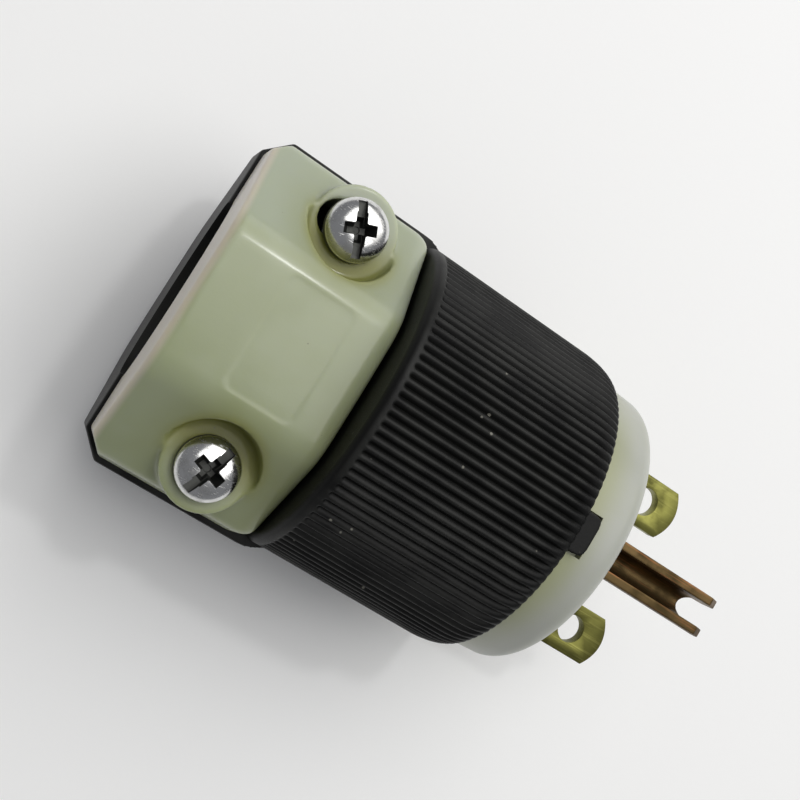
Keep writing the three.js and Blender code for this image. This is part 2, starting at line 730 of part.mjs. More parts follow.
/** A wire clamping plate lying on z = 0, with the hole for its screw. */
function pressurePlate() {
  const flat = pushedZ(roundedRectangle(plateLength, plateWidth, plateCorner, [0, 0]), 0, plateThickness);
  const hole = { segments: shankSegments };
  return cut(flat, barZ(terminalScrewRadius + slipGap, -restGap, plateThickness + restGap, hole));
}

/** The screw of a wire terminal. */
function terminalScrew() {
  return machineScrew({
    headRadius: terminalHeadRadius,
    headHeight: terminalHeadHeight,
    radius: terminalScrewRadius,
    length: terminalScrewLength,
    slotWidth: terminalSlotWidth,
  });
}

/** One of the two screws that hold the interior in the housing. */
function assemblyScrew() {
  return machineScrew({
    headRadius: assemblyHeadRadius,
    headHeight: assemblyHeadHeight,
    radius: assemblyRadius,
    length: assemblyLength,
    slotWidth: assemblySlotWidth,
    crossWidth: assemblyCrossWidth,
  });
}

/** One of the two small screws that hold the retainer on the face. */
function retainerScrew() {
  return machineScrew({
    headRadius: retainerHeadRadius,
    headHeight: retainerHeadHeight,
    radius: retainerScrewRadius,
    length: retainerScrewLength,
    slotWidth: retainerSlotWidth,
  });
}

// ---------------------------------------------------------------- assembly

/** The housing with what is moulded or pressed into it. */
function housingGroup() {
  const group = new THREE.Group();
  group.add(piece("housing_shell", housingShell(), blackNylon));
  for (const [name, side] of sides) {
    const nut = piece("clamp_nut_" + name, clampNut(), plainSteel);
    nut.position.set(clampScrewX, side * clampScrewOffset, -nutDepth);
    const insert = piece("assembly_insert_" + name, assemblyInsert(), yellowBrass);
    insert.position.set(columnFrontX, side * assemblyOffset, assemblyHeight);
    group.add(nut, insert);
  }
  return group;
}

/** The loose clamp half with its two screws. */
function clampGroup() {
  const group = new THREE.Group();
  group.add(piece("cord_clamp", cordClamp(), ivoryNylon));
  for (const [name, side] of sides) {
    const screw = piece("clamp_screw_" + name, clampScrew(), zincSteel);
    screw.position.set(clampScrewX, side * clampScrewOffset, seatHeight + restGap);
    group.add(screw);
  }
  return group;
}

/** One wire terminal: the plate and its screw, stacked along +Z from the contact's face. */
function terminalGroup(name, screwFinish) {
  const group = new THREE.Group();
  const plate = piece("terminal_plate_" + name, pressurePlate(), plainSteel);
  plate.position.z = restGap;
  const screw = piece("terminal_screw_" + name, terminalScrew(), screwFinish);
  screw.position.z = plate.position.z + plateThickness + restGap;
  group.add(plate, screw);
  return group;
}

/** The interior that pulls out of the housing: face, retainer, contacts, terminals and screws. */
function interiorGroup() {
  const group = new THREE.Group();
  group.add(piece("face_body", faceBody(), whiteNylon));
  group.add(piece("terminal_retainer", terminalRetainer(), greyNylon));
  group.add(piece("ground_pin", groundPin(), brownBrass));
  const groundTerminal = terminalGroup("ground", greenSteel);
  groundTerminal.position.set(terminalX, 0, webBottomZ + pinWall);
  group.add(groundTerminal);
  for (const [name, side] of sides) {
    const y = (side * bladeSpacing) / 2;
    const blade = piece("line_blade_" + name, lineBlade(), yellowBrass);
    blade.position.set(0, y, bladeZ);
    const terminal = terminalGroup(name, yellowBrass);
    terminal.position.set(terminalX, y, bladeZ - contactHalf);
    terminal.rotation.x = Math.PI;
    const screw = piece("assembly_screw_" + name, assemblyScrew(), zincSteel);
    screw.position.set(-assemblyHeadDepth - assemblyHeadHeight, side * assemblyOffset, assemblyHeight);
    screw.rotation.y = Math.PI / 2;
    const retainer = piece("retainer_screw_" + name, retainerScrew(), plainSteel);
    retainer.position.set(retainerRearX - restGap, side * retainerScrewOffset, -retainerScrewDrop);
    retainer.rotation.y = -Math.PI / 2;
    group.add(blade, terminal, screw, retainer);
  }
  return group;
}

const plug = new THREE.Group();
plug.add(housingGroup(), clampGroup(), interiorGroup());

export default plug;
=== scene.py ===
"""A wireable straight-blade grounding plug on a pale studio floor.

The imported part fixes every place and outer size. Each class below builds one sub-assembly around it, with
the fine surface that the plain solids leave out: ribs, threads, drafted walls, soft moulded edges and
finishes. Lengths are in millimetres unless a name says otherwise, and a mesh is scaled to metres when it
becomes a piece. +X points along the blades, +Z to the side of the clamp screws.
"""

import sys

import logging
import math
from dataclasses import dataclass, field
from enum import Enum
from typing import Optional, Sequence, Union

import bmesh
import bpy
from mathutils import Matrix, Vector


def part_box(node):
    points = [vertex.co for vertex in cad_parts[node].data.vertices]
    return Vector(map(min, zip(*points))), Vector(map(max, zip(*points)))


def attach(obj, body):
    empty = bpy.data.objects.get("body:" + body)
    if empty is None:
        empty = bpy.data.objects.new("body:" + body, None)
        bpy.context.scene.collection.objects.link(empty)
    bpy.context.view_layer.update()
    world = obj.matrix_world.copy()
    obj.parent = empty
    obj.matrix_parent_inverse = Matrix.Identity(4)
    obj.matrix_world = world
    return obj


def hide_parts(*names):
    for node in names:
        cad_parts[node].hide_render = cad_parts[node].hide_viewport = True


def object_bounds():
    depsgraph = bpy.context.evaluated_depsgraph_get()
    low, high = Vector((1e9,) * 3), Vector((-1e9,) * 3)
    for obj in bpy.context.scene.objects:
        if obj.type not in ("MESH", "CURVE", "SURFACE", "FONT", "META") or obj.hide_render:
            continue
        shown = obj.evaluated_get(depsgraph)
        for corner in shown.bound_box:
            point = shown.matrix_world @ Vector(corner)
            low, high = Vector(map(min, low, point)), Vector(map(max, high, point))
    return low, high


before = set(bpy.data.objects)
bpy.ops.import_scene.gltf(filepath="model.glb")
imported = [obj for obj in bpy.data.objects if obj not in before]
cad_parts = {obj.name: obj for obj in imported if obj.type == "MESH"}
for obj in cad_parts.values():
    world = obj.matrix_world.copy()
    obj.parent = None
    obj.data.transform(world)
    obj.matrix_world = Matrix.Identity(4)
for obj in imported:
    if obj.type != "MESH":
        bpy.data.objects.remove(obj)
CAD_BOX = [list(corner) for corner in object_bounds()]

LOG = logging.getLogger("plug")
MM = 0.001
REST_GAP = 0.3
SLIP_GAP = 0.2
PRESS_GAP = 0.1
CUT_OVER = 1.0
SMALL_HOLE = 1.62
NUT_HOLE = 1.92
ROUND_SIDES = 192
SHARP_ANGLE = math.radians(32)
SIDES = (("left", 1), ("right", -1))

Point2 = tuple[float, float]
Colour = tuple[float, float, float, float]


# ---------------------------------------------------------------- named options


class Join(Enum):
    """How one solid is combined with another."""

    UNION = "UNION"
    DIFFERENCE = "DIFFERENCE"
    INTERSECT = "INTERSECT"


class Drive(Enum):
    """The recess in a screw's head."""

    SLOT = "slot"
    COMBINATION = "combination"


class Axis(Enum):
    """The axis that a bar or an outline is built along."""

    X = 0
    Y = 1
    Z = 2


# ---------------------------------------------------------------- node graphs


class Signal:
    """A value socket that ordinary arithmetic can be written with."""

    def __init__(self, graph: "Graph", socket: bpy.types.NodeSocket) -> None:
        """Wrap a socket.

        Args:
            graph: the graph that the socket's node belongs to.
            socket: the output socket.
        """
        self.graph = graph
        self.socket = socket

    def maths(self, operation: str, *others: "Value", swapped: bool = False) -> "Signal":
        """Add a Math node.

        Args:
            operation: the Math node's operation.
            others: the other operands.
            swapped: whether this signal is the second operand.

        Returns:
            The node's result.
        """
        operands = (*others, self) if swapped else (self, *others)
        made = self.graph.node("ShaderNodeMath", {"operation": operation}, dict(enumerate(operands)))
        return Signal(self.graph, made.outputs[0])

    def __add__(self, other: "Value") -> "Signal":
        """Sum."""
        return self.maths("ADD", other)

    def __radd__(self, other: "Value") -> "Signal":
        """Sum with the number first."""
        return self.maths("ADD", other)

    def __sub__(self, other: "Value") -> "Signal":
        """Difference."""
        return self.maths("SUBTRACT", other)

    def __rsub__(self, other: "Value") -> "Signal":
        """Difference with the number first."""
        return self.maths("SUBTRACT", other, swapped=True)

    def __mul__(self, other: "Value") -> "Signal":
        """Product."""
        return self.maths("MULTIPLY", other)

    def __rmul__(self, other: "Value") -> "Signal":
        """Product with the number first."""
        return self.maths("MULTIPLY", other)

    def __truediv__(self, other: "Value") -> "Signal":
        """Quotient."""
        return self.maths("DIVIDE", other)

    def __pow__(self, other: "Value") -> "Signal":
        """Power."""
        return self.maths("POWER", other)

    def __abs__(self) -> "Signal":
        """Size without sign."""
        return self.maths("ABSOLUTE")

    def most(self, other: "Value") -> "Signal":
        """The larger of two."""
        return self.maths("MAXIMUM", other)

    def rise(self, start: float, end: float) -> "Signal":
        """A smooth step from 0 to 1.

        Args:
            start: where the step leaves 0.
            end: where it reaches 1, which may be below start for a falling step.

        Returns:
            The step as a signal.
        """
        low, high = min(start, end), max(start, end)
        made = self.graph.node(
            "ShaderNodeMapRange",
            {"interpolation_type": "SMOOTHSTEP"},
            {0: self, 1: low, 2: high, 3: 0.0, 4: 1.0},
        )
        step = Signal(self.graph, made.outputs[0])
        return step if end >= start else 1 - step


Value = Union[Signal, float]


class Graph:
    """A node tree, and the one way of adding nodes to it."""

    def __init__(self, tree: bpy.types.NodeTree) -> None:
        """Start on a tree.

        Args:
            tree: the node tree to add to.
        """
        self.tree = tree

    def node(
        self, kind: str, settings: Optional[dict] = None, sockets: Optional[dict] = None
    ) -> bpy.types.Node:
        """Add a node, its settings first and its sockets after.

        Args:
            kind: the node's type.
            settings: the node's properties; "stops" gives a ramp's (place, colour) pairs.
            sockets: values or signals for the inputs, by name or number.

        Returns:
            The new node.
        """
        made = self.tree.nodes.new(kind)
        for key, value in (settings or {}).items():
            if key == "stops":
                self.set_stops(made, value)
            else:
                setattr(made, key, value)
        for key, value in (sockets or {}).items():
            if isinstance(value, Signal):
                self.tree.links.new(value.socket, made.inputs[key])
            else:
                made.inputs[key].default_value = value
        return made

    @staticmethod
    def set_stops(ramp: bpy.types.Node, stops: Sequence[tuple[float, Colour]]) -> None:
        """Give a colour ramp its stops.

        Args:
            ramp: the ramp node.
            stops: the (place, colour) pairs in order.
        """
        elements = ramp.color_ramp.elements
        while len(elements) < len(stops):
            elements.new(1.0)
        for element, (place, colour) in zip(elements, stops):
            element.position = place
            element.color = colour

    def split(self, vector: Signal) -> tuple[Signal, Signal, Signal]:
        """The three components of a vector."""
        made = self.node("ShaderNodeSeparateXYZ", None, {0: vector})
        return tuple(Signal(self, socket) for socket in made.outputs)


class Surface(Graph):
    """A material's graph around one Principled shader."""

    def __init__(self, name: str) -> None:
        """Make an empty material.

        Args:
            name: the material's name.
        """
        self.material = bpy.data.materials.new(name)
        self.material.use_nodes = True
        super().__init__(self.material.node_tree)
        self.tree.nodes.clear()
        self.shader = self.node("ShaderNodeBsdfPrincipled")
        output = self.node("ShaderNodeOutputMaterial")
        self.tree.links.new(self.shader.outputs[0], output.inputs["Surface"])
        place = self.node("ShaderNodeTexCoord")
        scaled = self.node(
            "ShaderNodeVectorMath",
            {"operation": "SCALE"},
            {0: Signal(self, place.outputs["Object"]), "Scale": 1 / MM},
        )
        self.place = Signal(self, scaled.outputs[0])
        self.x, self.y, self.z = self.split(self.place)

    def stretched(self, x: float, y: float, z: float) -> Signal:
        """The place in millimetres, scaled differently along each axis."""
        made = self.node("ShaderNodeVectorMath", {"operation": "MULTIPLY"}, {0: self.place, 1: (x, y, z)})
        return Signal(self, made.outputs[0])

    def noise(self, scale: float, detail: float = 2.0, place: Optional[Signal] = None) -> Signal:
        """Soft noise about 0.5.

        Args:
            scale: features per millimetre.
            detail: how many finer layers it has.
            place: where to read it, if not the plain place.

        Returns:
            The noise as a signal.
        """
        sockets = {"Vector": place or self.place, "Scale": scale, "Detail": detail}
        return Signal(self, self.node("ShaderNodeTexNoise", None, sockets).outputs[0])

    def cells(self, scale: float, place: Optional[Signal] = None) -> Signal:
        """Distance to the nearest of many scattered points, in cell sizes."""
        sockets = {"Vector": place or self.place, "Scale": scale}
        return Signal(self, self.node("ShaderNodeTexVoronoi", None, sockets).outputs[0])

    def attribute(self, name: str) -> Signal:
        """A number stored on the mesh, 0 where there is none."""
        return Signal(self, self.node("ShaderNodeAttribute", {"attribute_name": name}).outputs["Fac"])

    def mix(self, share: Value, first: Union[Signal, Colour], second: Union[Signal, Colour]) -> Signal:
        """A colour between two.

        Args:
            share: 0 for the first, 1 for the second.
            first: the colour at 0.
            second: the colour at 1.

        Returns:
            The mixed colour.
        """
        made = self.node("ShaderNodeMix", {"data_type": "RGBA"}, {0: share, 6: first, 7: second})
        return Signal(self, made.outputs[2])

    def dress(
        self, colour: Signal, roughness: Value, height: Signal, relief: float, **constants: object
    ) -> None:
        """Connect the shader.

        Args:
            colour: base colour.
            roughness: roughness.
            height: surface height, in units of relief.
            relief: the height's size in millimetres.
            constants: other inputs of the shader, by name with underscores.
        """
        bump = self.node("ShaderNodeBump", None, {"Height": height, "Distance": relief * MM, "Strength": 1.0})
        for key, value in (("Base Color", colour), ("Roughness", roughness)):
            self.tree.links.new(value.socket, self.shader.inputs[key])
        self.tree.links.new(bump.outputs[0], self.shader.inputs["Normal"])
        for key, value in constants.items():
            self.shader.inputs[key.replace("_", " ")].default_value = value


# ---------------------------------------------------------------- finishes


@dataclass(frozen=True)
class BlackNylon:
    """Satin black moulding whose rib crests are rubbed grey and whose channels hold dust."""

    slot: str = "black_nylon"
    colour: Colour = (0.0036, 0.0037, 0.0035, 1)
    rubbed: Colour = (0.03, 0.0305, 0.028, 1)
    dust: Colour = (0.34, 0.33, 0.28, 1)
    crest: float = 19.05
    rub_depth: float = 0.2
    roughness: float = 0.47

    def material(self) -> bpy.types.Material:
        """Build the material."""
        surface = Surface(self.slot)
        radius = (surface.y * surface.y + surface.z * surface.z) ** 0.5
        patches = surface.noise(0.25, 3)
        fine = surface.noise(6.0, 2)
        rub = radius.rise(self.crest - self.rub_depth, self.crest) * patches.rise(0.3, 0.62)
        scuffs = surface.noise(3.0, 3, surface.stretched(0.15, 1.6, 1.6)).rise(0.58, 0.76)
        specks = surface.cells(0.42).rise(0.1, 0.05) * surface.noise(0.16, 0).rise(0.59, 0.67)
        colour = surface.mix(patches.rise(0.35, 0.7) * 0.35, self.colour, (0.0085, 0.0085, 0.0075, 1))
        colour = surface.mix(rub * 0.5 + scuffs * 0.15, colour, self.rubbed)
        colour = surface.mix(specks * 0.55, colour, self.dust)
        roughness = self.roughness + (fine - 0.5) * 0.16 + scuffs * 0.08
        surface.dress(colour, roughness, fine + patches * 2, 0.012, Specular_IOR_Level=0.18)
        return surface.material


@dataclass(frozen=True)
class IvoryNylon:
    """Milky green-white nylon, glossy and a little translucent, with painted yellow-green shade round the
    screw wells and at the front corner, and painted light on the +Y flank and the rear face.
    """

    slot: str = "ivory_nylon"
    colour: Colour = (0.34, 0.375, 0.235, 1)
    # painted light: the lighter colour painted on the +Y flank, which faces the key light
    clear: Colour = (0.38, 0.415, 0.33, 1)
    # painted shade: the dark yellow-green colour painted low in the screw wells
    olive: Colour = (0.2, 0.2, 0.016, 1)
    # painted light: the lighter, pinker colour painted on the rear face, which faces away from the lamps
    warm: Colour = (0.62, 0.55, 0.46, 1)
    screw_x: float = -41.2
    screw_y: float = 14.3
    well: float = 5.3
    front_x: float = -32.5
    rear_x: float = -52.5
    crest_half_width: float = 8.3

    def material(self) -> bpy.types.Material:
        """Build the material."""
        surface = Surface(self.slot)
        clouds = surface.noise(0.11, 2)
        fine = surface.noise(4.5, 2)
        from_x = surface.x - self.screw_x
        from_y = abs(surface.y) - self.screw_y
        reach = (from_x * from_x + from_y * from_y) ** 0.5
        ring = reach.rise(self.well - 3.2, self.well - 2.1) * reach.rise(self.well + 1.2, self.well - 0.8)
        inward = (from_y / reach.most(0.1)).rise(0.65, -0.75)
        # painted shade in each screw well, deepest on the side towards the hump
        well_shade = ring * inward * surface.z.rise(6.5, 8.6)
        # fainter painted shade spreading round each well
        well_halo_shade = reach.rise(self.well + 4.5, self.well - 0.5) * (0.25 + inward * 0.75)
        # painted light on the +Y flank only, where the key light falls
        flank = surface.y.rise(self.crest_half_width - 0.6, self.crest_half_width + 1.4)
        # painted shade at the front corner by the barrel, on the -Y side away from the key light
        front = surface.x.rise(self.front_x - 4.2, self.front_x - 0.3) * surface.y.rise(4.0, -6.0)
        # painted light on the rear face
        rear = surface.x.rise(self.rear_x + 1.0, self.rear_x + 0.15)
        colour = surface.mix(clouds.rise(0.35, 0.66), self.colour, (0.31, 0.345, 0.2, 1))
        # paint the light on the +Y flank
        colour = surface.mix(flank * 0.75, colour, self.clear)
        # paint the shade round the wells and at the front corner in a dark yellow-green
        colour = surface.mix(front * 0.3 + well_halo_shade * 0.5, colour, (0.22, 0.235, 0.075, 1))
        # paint the light on the rear face
        colour = surface.mix(rear * 0.8, colour, self.warm)
        # paint the deep shade in the screw wells
        colour = surface.mix(well_shade * 0.92, colour, self.olive)
        nicks = surface.cells(0.55).rise(0.05, 0.03) * surface.noise(0.3, 0).rise(0.6, 0.68)
        colour = surface.mix(nicks * 0.6, colour, (0.12, 0.12, 0.08, 1))
        roughness = 0.3 + (fine - 0.5) * 0.12 + clouds * 0.06 + well_shade * 0.25
        surface.dress(
            colour,
            roughness,
            surface.noise(0.35, 3) * 4 + fine,
            0.004,
            Subsurface_Weight=0.55,
            Subsurface_Radius=(1.0, 1.0, 0.55),
            Subsurface_Scale=1.8 * MM,
            Specular_IOR_Level=0.5,
            Coat_Weight=0.3,
            Coat_Roughness=0.14,
        )
        return surface.material


@dataclass(frozen=True)
class WhiteNylon:
    """Satin white face moulding with painted green-yellow shade beside the black housing, strongest towards
    +Z.
    """

    slot: str = "white_nylon"
    colour: Colour = (0.42, 0.43, 0.385, 1)
    # painted shade: the darker green-yellow colour painted beside the black housing
    cast: Colour = (0.33, 0.345, 0.19, 1)
    edge_x: float = -6.6

    def material(self) -> bpy.types.Material:
        """Build the material."""
        surface = Surface(self.slot)
        clouds = surface.noise(0.16, 2)
        fine = surface.noise(5.0, 2)
        # where painted shade falls beside the black housing, stronger towards +Z
        near_edge = surface.x.rise(self.edge_x + 4.2, self.edge_x + 0.2)
        upper = surface.z.rise(9.0, 17.0)
        colour = surface.mix(clouds.rise(0.35, 0.68) * 0.5, self.colour, (0.38, 0.395, 0.33, 1))
        # paint the shade beside the black housing
        colour = surface.mix(near_edge * (0.35 + upper * 0.5), colour, self.cast)
        roughness = 0.36 + (fine - 0.5) * 0.14
        surface.dress(
            colour,
            roughness,
            surface.noise(0.4, 3) * 3 + fine,
            0.007,
            Subsurface_Weight=0.2,
            Subsurface_Radius=(1.0, 0.95, 0.7),
            Subsurface_Scale=1.5 * MM,
            Specular_IOR_Level=0.45,
        )
        return surface.material


@dataclass(frozen=True)
class GreyNylon:
    """Plain satin grey moulding with faint flow marks."""

    slot: str = "grey_nylon"
    colour: Colour = (0.25, 0.26, 0.235, 1)

    def material(self) -> bpy.types.Material:
        """Build the material."""
        surface = Surface(self.slot)
        flow = surface.noise(0.5, 3, surface.stretched(0.4, 1.0, 1.0))
        fine = surface.noise(6.0, 2)
        colour = surface.mix(flow.rise(0.35, 0.7), self.colour, (0.31, 0.32, 0.29, 1))
        surface.dress(colour, 0.46 + (fine - 0.5) * 0.15, fine + flow, 0.01, Specular_IOR_Level=0.4)
        return surface.material


@dataclass(frozen=True)
class Plating:
    """Plated steel: bright metal with turning marks, hairline scratches, dull patches and painted shade in
    the drive recess.
    """

    slot: str
    colour: Colour
    dull: Colour
    roughness: float
    scratch: float = 0.5
    # painted shade: the near-black colour painted in the drive recess
    grime: Colour = (0.02, 0.022, 0.017, 1)

    def material(self) -> bpy.types.Material:
        """Build the material."""
        surface = Surface(self.slot)
        patches = surface.noise(0.7, 3)
        hair = surface.noise(2.2, 3, surface.stretched(0.25, 3.2, 2.4)).rise(0.6, 0.72)
        pits = surface.cells(2.6).rise(0.12, 0.04) * surface.noise(0.9, 1).rise(0.5, 0.62)
        fine = surface.noise(9.0, 2)
        colour = surface.mix(patches.rise(0.42, 0.72) * 0.6 + pits * 0.4, self.colour, self.dull)
        colour = surface.mix(hair * self.scratch * 0.5, colour, self.dull)
        # painted shade: faces inside the drive recess are darkened
        recess = surface.attribute("recess")
        colour = surface.mix(recess * 0.9, colour, self.grime)
        roughness = self.roughness + patches.rise(0.4, 0.75) * 0.14 + hair * self.scratch * 0.22 + pits * 0.2
        roughness = roughness.most(recess * 0.55)
        surface.dress(colour, roughness, fine + hair * 2 - pits * 3, 0.004, Metallic=1.0)
        return surface.material


@dataclass(frozen=True)
class Brass:
    """Tarnished brass strip with rolling lines, less tarnished towards the tip where it is handled, and
    painted shade that darkens it towards -Y.
    """

    slot: str
    colour: Colour
    # dark colour of the tarnished patches, also painted as shade on the -Y side
    tarnish: Colour
    streak: Colour
    roughness: float = 0.36
    tip_x: float = 14.8

    def material(self) -> bpy.types.Material:
        """Build the material."""
        surface = Surface(self.slot)
        patches = surface.noise(0.35, 4)
        rolled = surface.noise(1.6, 3, surface.stretched(0.12, 3.0, 3.0))
        fine = surface.noise(7.0, 2)
        worn = surface.x.rise(self.tip_x - 6.0, self.tip_x)
        # painted shade: darker towards -Y, where the lower blade lies in shade
        dull = surface.y.rise(2.0, -4.0) * 0.55
        aged_and_shaded = (patches.rise(0.38, 0.68) * (0.85 - worn * 0.35)).most(dull)
        # darken the tarnished patches and paint the shade towards -Y
        colour = surface.mix(aged_and_shaded, self.colour, self.tarnish)
        colour = surface.mix(rolled.rise(0.52, 0.7) * 0.55, colour, self.streak)
        roughness = self.roughness + patches.rise(0.4, 0.7) * 0.16 + (fine - 0.5) * 0.1
        surface.dress(colour, roughness, rolled * 2 + fine, 0.006, Metallic=0.9)
        return surface.material


@dataclass(frozen=True)
class StudioPaper:
    """Pale seamless paper under the plug."""

    colour: Colour = (0.97, 0.97, 0.965, 1)

    def material(self) -> bpy.types.Material:
        """Build the material."""
        surface = Surface("studio_paper")
        fibre = surface.noise(1.5, 3)
        colour = surface.mix(fibre * 0.3, self.colour, (0.95, 0.95, 0.945, 1))
        surface.dress(colour, 0.8 + fibre * 0.1, fibre, 0.01, Specular_IOR_Level=0.2)
        return surface.material


class Finishes:
    """Every finish of the plug, each built once."""

    def __init__(self) -> None:
        """Build the materials by slot."""
        made = (
            BlackNylon(),
            IvoryNylon(),
            WhiteNylon(),
            GreyNylon(),
            Plating("bright_steel", (0.74, 0.74, 0.73, 1), (0.42, 0.415, 0.4, 1), 0.17, 0.8),
            Plating("plain_steel", (0.5, 0.5, 0.48, 1), (0.27, 0.26, 0.24, 1), 0.32),
            Plating("green_steel", (0.035, 0.22, 0.075, 1), (0.02, 0.1, 0.04, 1), 0.33),
            Brass("yellow_brass", (0.23, 0.225, 0.058, 1), (0.07, 0.068, 0.016, 1), (0.3, 0.29, 0.085, 1)),
            Brass(
                "brown_brass",
                (0.13, 0.085, 0.035, 1),
                (0.055, 0.038, 0.014, 1),
                (0.3, 0.12, 0.05, 1),
                roughness=0.4,
                tip_x=17.8,
            ),
        )
        self.materials = {finish.slot: finish.material() for finish in made}

    def __getitem__(self, slot: str) -> bpy.types.Material:
        """The material of a slot."""
        return self.materials[slot]


# ---------------------------------------------------------------- solids


def span(node: str) -> tuple[Vector, Vector]:
    """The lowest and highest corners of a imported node, in millimetres."""
    low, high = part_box(node)
    return low / MM, high / MM


def centre(node: str) -> Vector:
    """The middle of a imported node's box, in millimetres."""
    low, high = span(node)
    return (low + high) / 2


def across(node: str) -> Point2:
    """The (y, z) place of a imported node's middle."""
    middle = centre(node)
    return middle.y, middle.z


def quarter(start: Point2, end: Point2, steps: int = 8) -> list[Point2]:
    """Points of a quarter ellipse.

    Args:
        start: the first point, left along the second coordinate.
        end: the last point, reached along the first coordinate.
        steps: how many chords it has.

    Returns:
        The points, both ends included.
    """
    turns = [i / steps * math.pi / 2 for i in range(steps + 1)]
    return [
        (end[0] + (start[0] - end[0]) * math.cos(turn), start[1] + (end[1] - start[1]) * math.sin(turn))
        for turn in turns
    ]


def curve(start: Point2, control: Point2, end: Point2, steps: int = 6) -> list[Point2]:
    """Points of a quadratic curve, both ends included."""
    shares = [i / steps for i in range(steps + 1)]
    return [
        tuple((1 - t) ** 2 * a + 2 * t * (1 - t) * b + t * t * c for a, b, c in zip(start, control, end))
        for t in shares
    ]


def arc(middle: Point2, radius: float, start: float, end: float, steps: int = 8) -> list[Point2]:
    """Points of an arc between two angles in degrees, both ends included."""
    turns = [math.radians(start + (end - start) * i / steps) for i in range(steps + 1)]
    return [(middle[0] + radius * math.cos(t), middle[1] + radius * math.sin(t)) for t in turns]


def rounded_rectangle(length: float, width: float, radius: float, middle: Point2 = (0, 0)) -> list[Point2]:
    """The outline of a rectangle with round corners.

    Args:
        length: size along the first coordinate.
        width: size along the second.
        radius: of the corners.
        middle: its centre.

    Returns:
        The outline's points.
    """
    u, v = length / 2 - radius, width / 2 - radius
    corners = ((u, v, 0), (-u, v, 90), (-u, -v, 180), (u, -v, 270))
    return [
        point
        for a, b, turn in corners
        for point in arc((middle[0] + a, middle[1] + b), radius, turn, turn + 90, 6)
    ]


